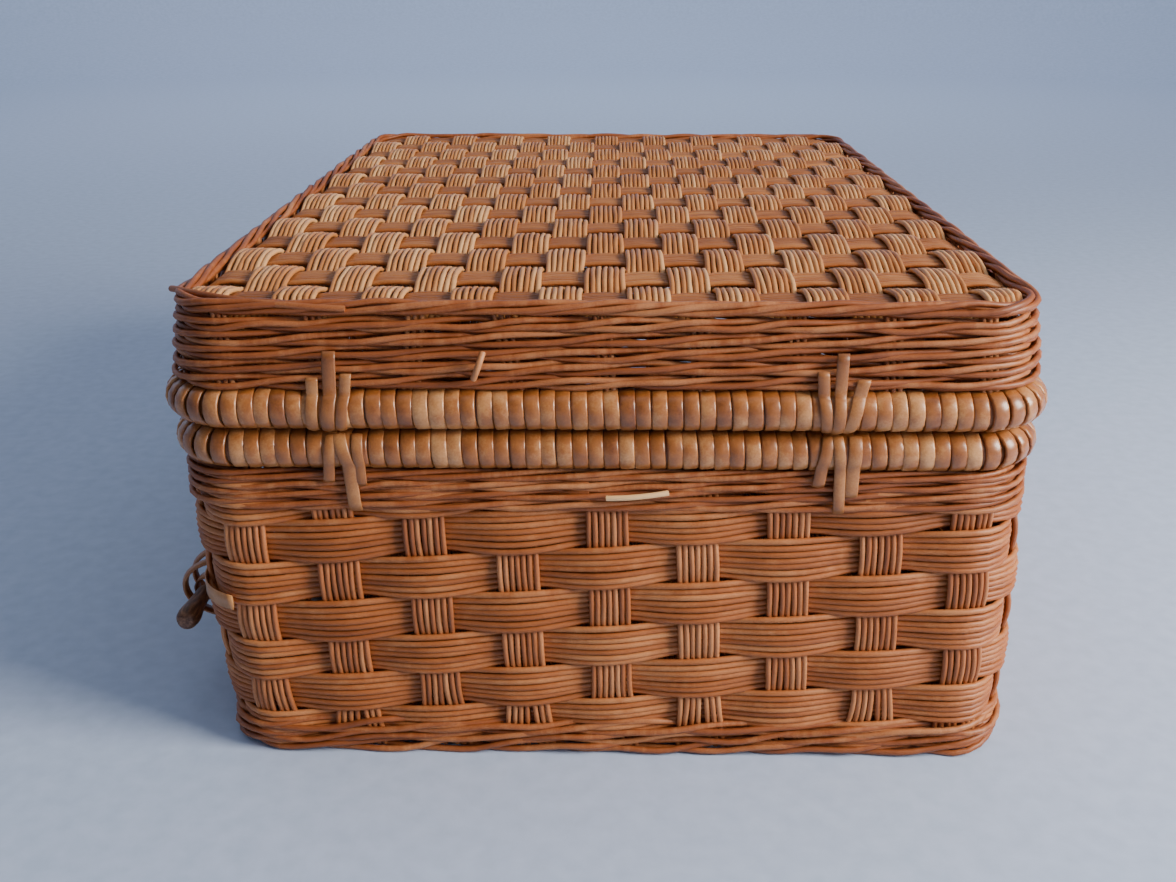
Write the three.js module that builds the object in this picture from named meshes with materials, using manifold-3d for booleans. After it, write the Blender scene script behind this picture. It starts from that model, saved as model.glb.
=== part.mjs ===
// Rattan storage hamper with a hinged lid: a low basket of bundled reed, two cane-wrapped rims,
// cane hinge loops on one long side, two peg closures and a drop handle on the other.
// Millimetres, +Z up. X runs across the short sides and Y along the long sides. The origin is the
// centre of the floor's underside, which stands on the table.
import * as THREE from "three";
import { mergeVertices } from "three/addons/utils/BufferGeometryUtils.js";
import Module from "manifold-3d";

const wasm = await Module();
wasm.setup();

// ---------------------------------------------------------------- driving sizes
const bodyWidth = 320; // across X at the lid's top edge
const bodyLength = 448; // along Y at the lid's top edge
const cornerRadius = 24; // plan corner at that edge
const baseHeight = 142; // table to the top of the base's rim
const lidHeight = 48.5; // underside of the lid's rim to the lid's top edge
const fitGap = 0.3; // left between pieces that touch
const cornerSteps = 5; // facets in each plan corner
const arcSteps = 4; // curve divisions of a small loop, half its facets

// Rims: a rattan pole with peeled cane wound round it.
const rimRadius = 7.9; // over the wrapping
const rimCoreRadius = 5;
const rimGap = 0.5; // between the two rims with the lid shut
const rimFacets = 10;
const wrapSlit = 14; // degrees left open along the wrapping's inner side
const baseRimInset = 3; // rim centre line, in from the plan edge
const lidRimInset = 1;

// Base walls: foot border, basket weave and twined band, one above the other.
const wallThickness = 6;
const footHeight = 14;
const footThickness = 8;
const walingHeight = 16;
const wallTopFlare = 2.1; // outer face beyond the plan edge, under the rim
const wallBulge = 2.4; // extra at mid height
const wallTaper = 3; // drawn in at the table
const floorThickness = 6;

// Lid: flared twined side, rolled edge border and woven panel.
const lidSideFlare = 3.5; // outer face beyond the plan edge, above the rim
const borderRadius = 3.6;
const panelThickness = 5;
const panelDrop = 1.4; // panel's top under the border's top

// Cane loops of the hinge, each round both rims.
const loopClearance = 0.4;
const loopThickness = 1.6;
const loopWidth = 20; // three turns of cane
const loopSpacing = 240; // centre to centre along Y

// Lashings that tie each rim to its wall.
const caneWidth = 6;
const lashingThickness = 0.9;
const lashingProud = 0.3; // over the wrapping
const lashingLong = 15; // middle strip's run over the twining
const lashingShort = 6; // outer strips' run
const shortSideBaseTies = [-95, 86];
const shortSideLidTies = [-100, 85];
const tieSpacingHinge = 165; // on the hinge side, from the middle
const tieSpacingFront = 112; // on the closure side, from the middle
const tieStagger = 26; // lid ties beside base ties, so that the rims can roll

// Closures: two cane staples, the hasp's eye between them, and a wooden peg through all three.
const closureInset = 59.2; // hasp centre, in from the end of the body
const stapleWidth = 5;
const stapleHeight = 30;
const stapleReach = 21.5;
const stapleThickness = 2.2;
const stapleZ = 48; // middle of the staple
const legDepth = 4; // run of a staple's legs into the wall
const haspWidth = 7;
const haspThickness = 1.6;
const pegOffset = 12.4; // peg axis, out from the wall
const pegZ = 45;
const pegLength = 29;
const pegHeadRadius = 4.8;
const pegTipRadius = 3.2;
const eyeClearance = 0.6; // hasp eye round the peg's head
const closureSideGap = 0.5; // between staple and hasp along Y
const tieStripThickness = 1.1;
const tieStripZ = 70; // middle of the strip that anchors a closure round its corner
const tieStripGap = 3; // from the outer staple to its end
const tieStripTurn = 70; // degrees of the corner that it covers

// Drop handle.
const handleSpan = 114; // between the two wall eyes
const handleDrop = 34;
const handleEyeMargin = 2; // eye's top under the twined band
const handleRodRadius = 3.8;
const gripRadius = 6.2;
const gripLength = 76;
const handleStandoff = 8.6; // pivot axis, out from the wall's widest level
const eyeReach = 16;
const eyeHeight = 17;
const eyeThickness = 2.2;
const eyeWidth = 5;

// ---------------------------------------------------------------- worked out from the sizes
const halfWidth = bodyWidth / 2;
const halfLength = bodyLength / 2;
const totalHeight = baseHeight + rimGap + lidHeight;
const baseRimZ = baseHeight - rimRadius;
const lidRimZ = baseHeight + rimGap + rimRadius;
const wallTop = baseRimZ - rimRadius - fitGap;
const lidSideBottom = lidRimZ + rimRadius + fitGap;
const borderZ = totalHeight - borderRadius;
const lidSideTop = borderZ - borderRadius - fitGap;
const loopInner = rimRadius + loopClearance;
const loopOuter = loopInner + loopThickness;
const walingBottom = wallTop - walingHeight;
const handleZ = walingBottom - handleEyeMargin - eyeHeight / 2;
const haspY = halfLength - closureInset;
const stapleStep = (stapleWidth + haspWidth) / 2 + closureSideGap;
const rad = THREE.MathUtils.degToRad;
const lashingTuck = rad(38); // past the rim's middle, towards the other rim
const seatMargin = rad(4);

// Outer face of the base wall, beyond the plan edge, at a height.
function wallOffset(z) {
  const u = z / wallTop;
  return wallTopFlare + wallBulge * Math.sin(Math.PI * u) - wallTaper * (1 - u);
}

// Outer face of the lid side, beyond the plan edge, at a height.
function lidOffset(z) {
  return (lidSideFlare * (lidSideTop - z)) / (lidSideTop - lidSideBottom);
}

const wallAtPeg = halfWidth + wallOffset(pegZ);
const pegX = wallAtPeg + pegOffset;
const handleX = halfWidth + wallOffset(wallTop / 2) + handleStandoff;

// ---------------------------------------------------------------- materials
const finish = (color, roughness) => new THREE.MeshStandardMaterial({ color, roughness, metalness: 0 });
const reedWall = () => finish(0xa3683f, 0.6);
const reedTop = () => finish(0xb98659, 0.6);
const reedTwine = () => finish(0x8a5634, 0.62);
const pole = () => finish(0x7a4c2c, 0.6);
const cane = () => finish(0xa06a3e, 0.38);
const pegWood = () => finish(0x6e452c, 0.5);

// ---------------------------------------------------------------- solids
// A manifold solid of a closed geometry, moved by a matrix.
function solid(geometry, matrix = new THREE.Matrix4()) {
  const bare = new THREE.BufferGeometry();
  bare.setAttribute("position", geometry.getAttribute("position").clone());
  if (geometry.index) bare.setIndex(geometry.index.clone());
  bare.applyMatrix4(matrix);
  const merged = mergeVertices(bare, 1e-3);
  const vertProperties = new Float32Array(merged.getAttribute("position").array);
  const triVerts = new Uint32Array(merged.index.array);
  return new wasm.Manifold(new wasm.Mesh({ numProp: 3, vertProperties, triVerts }));
}

// The geometry of a manifold solid.
function geometryOf(made) {
  const mesh = made.getMesh();
  const geometry = new THREE.BufferGeometry();
  geometry.setAttribute("position", new THREE.BufferAttribute(new Float32Array(mesh.vertProperties), 3));
  geometry.setIndex(new THREE.BufferAttribute(new Uint32Array(mesh.triVerts), 1));
  geometry.computeVertexNormals();
  return geometry;
}

// A solid less each of the tools.
function cut(whole, tools) {
  return tools.reduce((rest, tool) => rest.subtract(tool), whole);
}

// Plan of the basket as points with outward normals, anticlockwise from above.
function planPoints() {
  const points = [];
  for (let corner = 0; corner < 4; corner++) {
    const sx = corner === 0 || corner === 3 ? 1 : -1;
    const sy = corner < 2 ? 1 : -1;
    for (let k = 0; k <= cornerSteps; k++) {
      const angle = (corner + k / cornerSteps) * (Math.PI / 2);
      points.push({
        centre: new THREE.Vector2(sx * (halfWidth - cornerRadius), sy * (halfLength - cornerRadius)),
        normal: new THREE.Vector2(Math.cos(angle), Math.sin(angle)),
      });
    }
  }
  return points;
}

// A ring whose section, [offset beyond the plan edge, z] anticlockwise, follows the plan:
// a lathe ring bent from a circle to the rounded rectangle.
function ring(section) {
  const profile = [...section, section[0]].map(([offset, z]) => new THREE.Vector2(offset, z));
  const plan = planPoints();
  const geometry = new THREE.LatheGeometry(profile, plan.length);
  const position = geometry.getAttribute("position");
  for (let i = 0; i <= plan.length; i++) {
    const { centre, normal } = plan[i % plan.length];
    profile.forEach(({ x: offset, y: z }, j) => {
      const reach = cornerRadius + offset;
      position.setXYZ(i * profile.length + j, centre.x + normal.x * reach, centre.y + normal.y * reach, z);
    });
  }
  return geometry;
}

// Wall section between two heights from its outer offset at each height.
function wallSection(bottom, top, offsetAt, thickness, levels) {
  const heights = Array.from({ length: levels + 1 }, (_, k) => bottom + ((top - bottom) * k) / levels);
  const outer = heights.map((z) => [offsetAt(z), z]);
  const inner = heights.map((z) => [offsetAt(z) - thickness, z]).reverse();
  return [...outer, ...inner];
}

// Round section about a centre.
function roundSection(offset, z, radius, facets) {
  return Array.from({ length: facets }, (_, k) => {
    const angle = (k * 2 * Math.PI) / facets;
    return [offset + radius * Math.cos(angle), z + radius * Math.sin(angle)];
  });
}

// C-shaped section of a wrapping, open along its inner side so that it closes no hollow.
function wrapSection(offset, z, inner, outer, facets) {
  const start = -Math.PI + rad(wrapSlit) / 2;
  const sweep = 2 * Math.PI - rad(wrapSlit);
  const at = (radius, k) => {
    const angle = start + (sweep * k) / facets;
    return [offset + radius * Math.cos(angle), z + radius * Math.sin(angle)];
  };
  const steps = Array.from({ length: facets + 1 }, (_, k) => k);
  return [...steps.map((k) => at(outer, k)), ...steps.reverse().map((k) => at(inner, k))];
}

// Flat plate that fills the plan inside an inset.
function plate(inset, bottom, thickness) {
  const outline = planPoints().map(({ centre, normal }) =>
    centre.clone().addScaledVector(normal, cornerRadius - inset),
  );
  const geometry = new THREE.ExtrudeGeometry(new THREE.Shape(outline), {
    depth: thickness,
    bevelEnabled: false,
  });
  return geometry.translate(0, 0, bottom);
}

// ---------------------------------------------------------------- pieces on a side
// Turns a local shape, x outward and y up with z along the side, onto one of the four sides.
const sides = {
  hinge: { out: new THREE.Vector3(1, 0, 0), along: new THREE.Vector3(0, 1, 0), half: halfWidth },
  front: { out: new THREE.Vector3(-1, 0, 0), along: new THREE.Vector3(0, 1, 0), half: halfWidth },
  near: { out: new THREE.Vector3(0, -1, 0), along: new THREE.Vector3(1, 0, 0), half: halfLength },
  far: { out: new THREE.Vector3(0, 1, 0), along: new THREE.Vector3(1, 0, 0), half: halfLength },
};
const up = new THREE.Vector3(0, 0, 1);

function onSide(sideName, along) {
  const side = sides[sideName];
  const third = new THREE.Vector3().crossVectors(side.out, up);
  const matrix = new THREE.Matrix4().makeBasis(side.out, up, third);
  return matrix.setPosition(side.along.clone().multiplyScalar(along));
}

// Shape extruded along the side, centred on z = 0.
function strip(shape, width, segments = arcSteps) {
  const options = { depth: width, bevelEnabled: false, curveSegments: segments };
  return new THREE.ExtrudeGeometry(shape, options).translate(0, 0, -width / 2);
}

// Box between two corners of the side's [out, up] plane.
function block(from, to, width) {
  const shape = new THREE.Shape([
    new THREE.Vector2(from[0], from[1]),
    new THREE.Vector2(to[0], from[1]),
    new THREE.Vector2(to[0], to[1]),
    new THREE.Vector2(from[0], to[1]),
  ]);
  return strip(shape, width);
}

// Flat ring about a centre.
function eyeRing(x, y, inner, outer, width) {
  const shape = new THREE.Shape().absarc(x, y, outer, 0, 2 * Math.PI, false);
  shape.holes.push(new THREE.Path().absarc(x, y, inner, 0, 2 * Math.PI, true));
  return strip(shape, width, 2 * arcSteps);
}

// Solid disc about a centre.
function disc(x, y, radius, width) {
  const shape = new THREE.Shape().absarc(x, y, radius, 0, 2 * Math.PI, false);
  return strip(shape, width, 2 * arcSteps);
}

// Slot that lets a loop pass between a rim and its wall. The rims' centre lines aren't plumb, so a
// loop turned level dips on the base's side.
function passSlot(sideName, along, rimZ, width, above) {
  const { half } = sides[sideName];
  const dip = above ? 0 : (baseRimInset - lidRimInset) / 2;
  const reach = loopOuter + fitGap + dip;
  const from = above ? rimZ + rimRadius : rimZ - reach;
  const to = above ? rimZ + reach : rimZ - rimRadius;
  const geometry = block([half - wallThickness - rimRadius, from], [half + 2 * rimRadius, to], width);
  return solid(geometry, onSide(sideName, along));
}

// Stadium outline round two centres.
function stadium(low, high, radius) {
  const heading = Math.atan2(high[1] - low[1], high[0] - low[0]);
  const turn = Math.PI / 2;
  return { low, high, radius, heading, turn };
}

function drawStadium(path, { low, high, radius, heading, turn }) {
  path.absarc(high[0], high[1], radius, heading - turn, heading + turn, false);
  path.absarc(low[0], low[1], radius, heading + turn, heading + 3 * turn, false);
  path.closePath();
  return path;
}

function hingeLoop() {
  const low = [halfWidth - baseRimInset, baseRimZ];
  const high = [halfWidth - lidRimInset, lidRimZ];
  const shape = drawStadium(new THREE.Shape(), stadium(low, high, loopOuter));
  shape.holes.push(drawStadium(new THREE.Path(), stadium(low, high, loopInner)));
  return strip(shape, loopWidth);
}

// Lashing: three cane strips side by side, bent over the rim's outside and laid on the twining.
// On the lid it runs up from the rim, on the base down from it.
function lashingShape(rimX, rimZ, wallX, run, direction) {
  const outer = rimRadius + lashingProud;
  const inner = outer - lashingThickness;
  const start = -direction * lashingTuck;
  const inX = wallX + fitGap;
  const outX = inX + lashingThickness;
  const leave = (x, radius) => direction * Math.acos((x - rimX) / radius);
  const tipZ = rimZ + direction * (rimRadius + run);
  const shape = new THREE.Shape();
  shape.absarc(rimX, rimZ, outer, start, leave(outX, outer), direction < 0);
  shape.lineTo(outX, tipZ);
  shape.lineTo(inX, tipZ);
  shape.absarc(rimX, rimZ, inner, leave(inX, inner), start, direction > 0);
  shape.closePath();
  return shape;
}

function lashing(sideName, part) {
  const { half } = sides[sideName];
  const isLid = part === "lid";
  const rimX = half - (isLid ? lidRimInset : baseRimInset);
  const rimZ = isLid ? lidRimZ : baseRimZ;
  const direction = isLid ? 1 : -1;
  const wallX = half + (isLid ? lidSideFlare : wallTopFlare + wallBulge / 2);
  const middle = strip(lashingShape(rimX, rimZ, wallX, lashingLong, direction), caneWidth);
  const outers = strip(lashingShape(rimX, rimZ, wallX, lashingShort, direction), 3 * caneWidth);
  return geometryOf(solid(middle).add(solid(outers)));
}

// Seat of a lashing in the rim's wrapping.
function lashingSeat(sideName, along, part) {
  const isLid = part === "lid";
  const rimX = sides[sideName].half - (isLid ? lidRimInset : baseRimInset);
  const rimZ = isLid ? lidRimZ : baseRimZ;
  const direction = isLid ? 1 : -1;
  const inner = rimRadius + lashingProud - lashingThickness - fitGap;
  const shape = new THREE.Shape();
  const from = -direction * (lashingTuck + seatMargin);
  const to = (direction * Math.PI) / 2;
  shape.absarc(rimX, rimZ, rimRadius + 2, from, to, direction < 0);
  shape.absarc(rimX, rimZ, inner, to, from, direction > 0);
  shape.closePath();
  return solid(strip(shape, 3 * caneWidth + 2 * fitGap), onSide(sideName, along));
}

// D-shaped staple that stands out of the wall, with its two legs run into it.
function stapleShape(wallX, z, height, reach, thickness, grow = 0) {
  const high = height / 2 + grow;
  const low = height / 2 - thickness - grow;
  const far = reach + grow;
  const near = reach - thickness - grow;
  const root = wallX - legDepth - grow;
  const shape = new THREE.Shape();
  shape.moveTo(root, z - high);
  shape.lineTo(wallX, z - high);
  shape.absellipse(wallX, z, far, high, -Math.PI / 2, Math.PI / 2, false);
  shape.lineTo(root, z + high);
  shape.lineTo(root, z + low);
  shape.lineTo(wallX, z + low);
  shape.absellipse(wallX, z, near, low, Math.PI / 2, -Math.PI / 2, true);
  shape.lineTo(root, z - low);
  shape.closePath();
  return shape;
}

// Staple of a closure and eye of the handle, or the tool that cuts their seats when grown.
function staple(grow = 0) {
  const wallX = halfWidth + wallOffset(stapleZ);
  const shape = stapleShape(wallX, stapleZ, stapleHeight, stapleReach, stapleThickness, grow);
  return strip(shape, stapleWidth + 2 * grow, 2 * arcSteps);
}

function handleEye(grow = 0) {
  const wallX = halfWidth + wallOffset(handleZ);
  const shape = stapleShape(wallX, handleZ, eyeHeight, eyeReach, eyeThickness, grow);
  return strip(shape, eyeWidth + 2 * grow, 2 * arcSteps);
}

// Hasp: a cane strip with a loop round the lid's rim and an eye round the peg's axis.
function hasp() {
  const rimX = halfWidth - lidRimInset;
  const eyeInner = pegHeadRadius + eyeClearance;
  const eyeOuter = eyeInner + haspThickness;
  const outside = rimX + loopOuter;
  const top = solid(eyeRing(rimX, lidRimZ, loopInner, loopOuter, haspWidth));
  const bottom = solid(eyeRing(pegX, pegZ, eyeInner, eyeOuter, haspWidth));
  const bare = solid(block([outside - haspThickness, pegZ], [outside, lidRimZ], haspWidth));
  const hole = solid(disc(pegX, pegZ, eyeInner, haspWidth + 2));
  const rimHole = solid(disc(rimX, lidRimZ, loopInner, haspWidth + 2));
  return geometryOf(top.add(bottom).add(bare).subtract(hole).subtract(rimHole));
}

// Wooden peg on +Y from its rounded head at the origin to its tip.
function peg() {
  const profile = [
    [0, 0],
    [pegHeadRadius * 0.62, 0.5],
    [pegHeadRadius * 0.95, 3],
    [pegHeadRadius, 6],
    [pegHeadRadius * 0.9, 11],
    [pegTipRadius + 0.4, pegLength * 0.62],
    [pegTipRadius, pegLength - 1],
    [pegTipRadius * 0.6, pegLength],
    [0, pegLength],
  ];
  return new THREE.LatheGeometry(profile.map(([r, y]) => new THREE.Vector2(r, y)), 3 * arcSteps);
}

// Bail of the handle in its own frame: pivot axis on Y at the origin, grip below it.
function handleCore() {
  const bend = 12;
  const stub = handleSpan / 2 + eyeWidth;
  const leg = handleSpan / 2 - eyeWidth - handleRodRadius;
  const point = (y, z) => new THREE.Vector3(0, y, z);
  const path = new THREE.CurvePath();
  const corner = (a, b, c) => path.add(new THREE.QuadraticBezierCurve3(a, b, c));
  const line = (a, b) => path.add(new THREE.LineCurve3(a, b));
  const soft = 6;
  line(point(-stub, 0), point(-leg - soft, 0));
  corner(point(-leg - soft, 0), point(-leg, 0), point(-leg, -soft));
  line(point(-leg, -soft), point(-leg, -handleDrop + bend));
  corner(point(-leg, -handleDrop + bend), point(-leg, -handleDrop), point(-leg + bend, -handleDrop));
  line(point(-leg + bend, -handleDrop), point(leg - bend, -handleDrop));
  corner(point(leg - bend, -handleDrop), point(leg, -handleDrop), point(leg, -handleDrop + bend));
  line(point(leg, -handleDrop + bend), point(leg, -soft));
  corner(point(leg, -soft), point(leg, 0), point(leg + soft, 0));
  line(point(leg + soft, 0), point(stub, 0));
  const shape = new THREE.Shape().absarc(0, 0, handleRodRadius, 0, 2 * Math.PI, false);
  return new THREE.ExtrudeGeometry(shape, { steps: 44, extrudePath: path, curveSegments: arcSteps });
}

// Cane winding on the grip, a sleeve on Y.
function handleWrap() {
  const inner = handleRodRadius + fitGap;
  const half = gripLength / 2;
  const soft = 1.2;
  const profile = [
    [inner, -half],
    [gripRadius - soft, -half],
    [gripRadius, -half + soft],
    [gripRadius, half - soft],
    [gripRadius - soft, half],
    [inner, half],
    [inner, -half],
  ];
  const points = profile.map(([r, y]) => new THREE.Vector2(r, y));
  return new THREE.LatheGeometry(points, 3 * arcSteps);
}

// Anchoring strip of a closure: flat on the wall, from the staple round the corner.
function cornerTie(end) {
  const inner = cornerRadius + wallOffset(wallTop / 2) + fitGap;
  const outer = inner + tieStripThickness;
  const centreX = -(halfWidth - cornerRadius);
  const centreY = -(halfLength - cornerRadius);
  const start = -(haspY + stapleStep + stapleWidth / 2 + tieStripGap);
  const turn = Math.PI + rad(tieStripTurn);
  const shape = new THREE.Shape();
  shape.moveTo(centreX - outer, start);
  shape.absarc(centreX, centreY, outer, Math.PI, turn, false);
  shape.absarc(centreX, centreY, inner, turn, Math.PI, true);
  shape.lineTo(centreX - inner, start);
  shape.closePath();
  const options = { depth: caneWidth, bevelEnabled: false, curveSegments: cornerSteps };
  const geometry = new THREE.ExtrudeGeometry(shape, options);
  const made = solid(geometry, new THREE.Matrix4().makeTranslation(0, 0, tieStripZ - caneWidth / 2));
  return geometryOf(end < 0 ? made : made.mirror([0, 1, 0]));
}

// ---------------------------------------------------------------- assembly
const hamper = new THREE.Group();
const base = new THREE.Group();
const lid = new THREE.Group();
const hinge = new THREE.Group();
const closures = new THREE.Group();
const handle = new THREE.Group();
hamper.add(base, lid, hinge, closures, handle);

function add(group, name, geometry, material, matrix) {
  const mesh = new THREE.Mesh(geometry, material);
  mesh.name = name;
  if (matrix) mesh.applyMatrix4(matrix);
  group.add(mesh);
  return mesh;
}

// Where each lashing sits: side, place along it, and which rim.
const ties = [];
for (const part of ["base", "lid"]) {
  const shortTies = part === "base" ? shortSideBaseTies : shortSideLidTies;
  for (const sideName of ["near", "far"]) {
    shortTies.forEach((along, i) => ties.push({ part, sideName, along, name: `${sideName}_${i + 1}` }));
  }
  for (const [sideName, spacing] of [["hinge", tieSpacingHinge], ["front", tieSpacingFront]]) {
    const stagger = part === "lid" && sideName === "hinge" ? tieStagger : 0;
    [-1, 0, 1].forEach((k, i) => {
      const along = k === 0 ? stagger : k * (spacing - stagger);
      ties.push({ part, sideName, along, name: `${sideName}_${i + 1}` });
    });
  }
}
const seatsOf = (part) =>
  ties.filter((tie) => tie.part === part).map((tie) => lashingSeat(tie.sideName, tie.along, part));

const loopPlaces = [-loopSpacing / 2, loopSpacing / 2];
const haspPlaces = [-haspY, haspY];
const loopSlots = (rimZ, above) =>
  loopPlaces.map((along) => passSlot("hinge", along, rimZ, loopWidth + 2 * closureSideGap, above));
const haspSlots = haspPlaces.map((along) =>
  passSlot("front", along, lidRimZ, haspWidth + 2 * closureSideGap, true),
);

// Base, from the table up.
const floorInset = footThickness - wallOffset(0) + fitGap;
add(base, "base_floor", plate(floorInset, 0, floorThickness), reedTwine());
add(
  base,
  "base_foot_border",
  ring(wallSection(0, footHeight, () => wallOffset(0), footThickness, 1)),
  reedTwine(),
);
const stapleTools = [];
for (const end of [-1, 1]) {
  for (const step of [-1, 1]) {
    stapleTools.push(solid(staple(fitGap), onSide("front", end * haspY + step * stapleStep)));
  }
  stapleTools.push(solid(handleEye(fitGap), onSide("front", (end * handleSpan) / 2)));
}
const weave = wallSection(footHeight + fitGap, walingBottom - fitGap, wallOffset, wallThickness, 4);
add(base, "base_wall", geometryOf(cut(solid(ring(weave)), stapleTools)), reedWall());
const waling = wallSection(walingBottom, wallTop, wallOffset, wallThickness, 1);
add(base, "base_waling", geometryOf(cut(solid(ring(waling)), loopSlots(baseRimZ, false))), reedTwine());
add(
  base,
  "base_rim_core",
  ring(roundSection(-baseRimInset, baseRimZ, rimCoreRadius, rimFacets)),
  pole(),
);
const baseWrap = wrapSection(-baseRimInset, baseRimZ, rimCoreRadius + fitGap, rimRadius, rimFacets);
const haspSeats = haspPlaces.map((along) => {
  const seat = disc(halfWidth - lidRimInset, lidRimZ, loopOuter + fitGap, haspWidth + 2 * fitGap);
  return solid(seat, onSide("front", along));
});
add(
  base,
  "base_rim_wrap",
  geometryOf(cut(solid(ring(baseWrap)), [...seatsOf("base"), ...haspSeats])),
  cane(),
);

// Lid, from its rim up.
add(lid, "lid_rim_core", ring(roundSection(-lidRimInset, lidRimZ, rimCoreRadius, rimFacets)), pole());
const lidWrap = wrapSection(-lidRimInset, lidRimZ, rimCoreRadius + fitGap, rimRadius, rimFacets);
add(lid, "lid_rim_wrap", geometryOf(cut(solid(ring(lidWrap)), seatsOf("lid"))), cane());
const lidWall = wallSection(lidSideBottom, lidSideTop, lidOffset, wallThickness, 1);
add(
  lid,
  "lid_side",
  geometryOf(cut(solid(ring(lidWall)), [...loopSlots(lidRimZ, true), ...haspSlots])),
  reedTwine(),
);
add(lid, "lid_edge_border", ring(roundSection(-borderRadius, borderZ, borderRadius, 8)), reedTop());
const panelInset = 2 * borderRadius + fitGap;
add(
  lid,
  "lid_panel",
  plate(panelInset, totalHeight - panelDrop - panelThickness, panelThickness),
  reedTop(),
);

// Lashings of both rims.
for (const tie of ties) {
  const group = tie.part === "lid" ? lid : base;
  add(
    group,
    `${tie.part}_lashing_${tie.name}`,
    lashing(tie.sideName, tie.part),
    cane(),
    onSide(tie.sideName, tie.along),
  );
}

// Hinge loops.
loopPlaces.forEach((along, i) => {
  add(hinge, `hinge_loop_${i + 1}`, hingeLoop(), cane(), onSide("hinge", along));
});

// Closures: the pegs point towards the middle, their heads towards the ends.
[["near", -1], ["far", 1]].forEach(([name, end]) => {
  const middle = end * haspY;
  for (const [place, step] of [["outer", stapleStep], ["inner", -stapleStep]]) {
    add(closures, `staple_${name}_${place}`, staple(), cane(), onSide("front", middle + end * step));
  }
  add(closures, `hasp_${name}`, hasp(), cane(), onSide("front", middle));
  add(closures, `closure_tie_${name}`, cornerTie(end), cane());
  const pegMesh = add(closures, `peg_${name}`, peg(), pegWood());
  const tipY = middle + end * (haspWidth / 2 + closureSideGap / 2);
  pegMesh.position.set(-pegX, tipY + end * pegLength, pegZ);
  if (end > 0) pegMesh.rotation.z = Math.PI;
});

// Handle, hanging from its two eyes.
[-1, 1].forEach((end, i) => {
  add(handle, `handle_eye_${i + 1}`, handleEye(), cane(), onSide("front", (end * handleSpan) / 2));
});
add(handle, "handle_core", handleCore(), pole()).position.set(-handleX, 0, handleZ);
add(handle, "handle_wrap", handleWrap(), cane()).position.set(-handleX, 0, handleZ - handleDrop);

export default hamper;
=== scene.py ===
"""Low rattan hamper with a hinged lid: woven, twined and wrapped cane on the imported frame."""

import logging
import math
from dataclasses import dataclass, field
from enum import Enum

import bpy
import numpy as np
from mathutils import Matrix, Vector


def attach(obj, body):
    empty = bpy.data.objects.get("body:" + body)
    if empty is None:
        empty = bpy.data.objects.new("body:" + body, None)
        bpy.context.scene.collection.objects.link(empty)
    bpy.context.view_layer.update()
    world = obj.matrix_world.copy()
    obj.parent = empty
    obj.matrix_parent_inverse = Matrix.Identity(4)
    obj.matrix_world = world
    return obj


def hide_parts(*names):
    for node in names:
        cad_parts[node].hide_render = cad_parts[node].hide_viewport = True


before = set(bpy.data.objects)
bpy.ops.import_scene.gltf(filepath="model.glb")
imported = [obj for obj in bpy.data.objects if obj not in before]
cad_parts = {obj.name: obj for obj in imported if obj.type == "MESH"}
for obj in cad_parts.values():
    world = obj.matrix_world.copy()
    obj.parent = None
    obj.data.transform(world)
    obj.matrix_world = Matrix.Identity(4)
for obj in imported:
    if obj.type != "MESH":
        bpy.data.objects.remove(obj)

LOG = logging.getLogger("hamper")
MM = 0.001
SEED = 1174
Array = np.ndarray


# ---------------------------------------------------------------- finishes


def linear(code: str) -> tuple[float, float, float, float]:
    """Turn an sRGB hex colour to linear RGBA.

    Args:
        code: six hex digits after a hash.

    Returns:
        The linear colour with full alpha.
    """
    parts = [int(code[i : i + 2], 16) / 255 for i in (1, 3, 5)]
    flat = [c / 12.92 if c <= 0.04045 else ((c + 0.055) / 1.055) ** 2.4 for c in parts]
    return (flat[0], flat[1], flat[2], 1.0)


def add_node(tree: bpy.types.NodeTree, kind: str, settings: dict, inputs: dict) -> bpy.types.Node:
    """Add a node with its settings, input values and links.

    Args:
        tree: the node tree that gets the node.
        kind: Blender's name for the type of node.
        settings: node properties by name.
        inputs: value or source socket for each input, by name or number.

    Returns:
        The new node.
    """
    node = tree.nodes.new(kind)
    for name, value in settings.items():
        setattr(node, name, value)
    for key, value in inputs.items():
        if isinstance(value, bpy.types.NodeSocket):
            tree.links.new(value, node.inputs[key])
        else:
            node.inputs[key].default_value = value
    return node


def noise(
    tree: bpy.types.NodeTree,
    place: bpy.types.NodeSocket,
    size: float,
    detail: float,
    roughness: float = 0.5,
) -> bpy.types.Node:
    """Add a noise texture.

    Args:
        tree: the material's tree.
        place: where it is read.
        size: mm across one feature.
        detail: number of finer layers.
        roughness: how strongly the finer layers count.

    Returns:
        The texture node.
    """
    inputs = {"Vector": place, "Scale": 1 / (size * MM), "Detail": detail, "Roughness": roughness}
    return add_node(tree, "ShaderNodeTexNoise", {}, inputs)


def set_stops(ramp: bpy.types.Node, stops: list[tuple[float, str]]) -> None:
    """Give a colour ramp its stops.

    Args:
        ramp: the ramp node.
        stops: position and sRGB hex colour of each stop, in order.
    """
    elements = ramp.color_ramp.elements
    while len(elements) > 1:
        elements.remove(elements[-1])
    elements[0].position = stops[0][0]
    elements[0].color = linear(stops[0][1])
    for place, code in stops[1:]:
        elements.new(place).color = linear(code)


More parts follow.
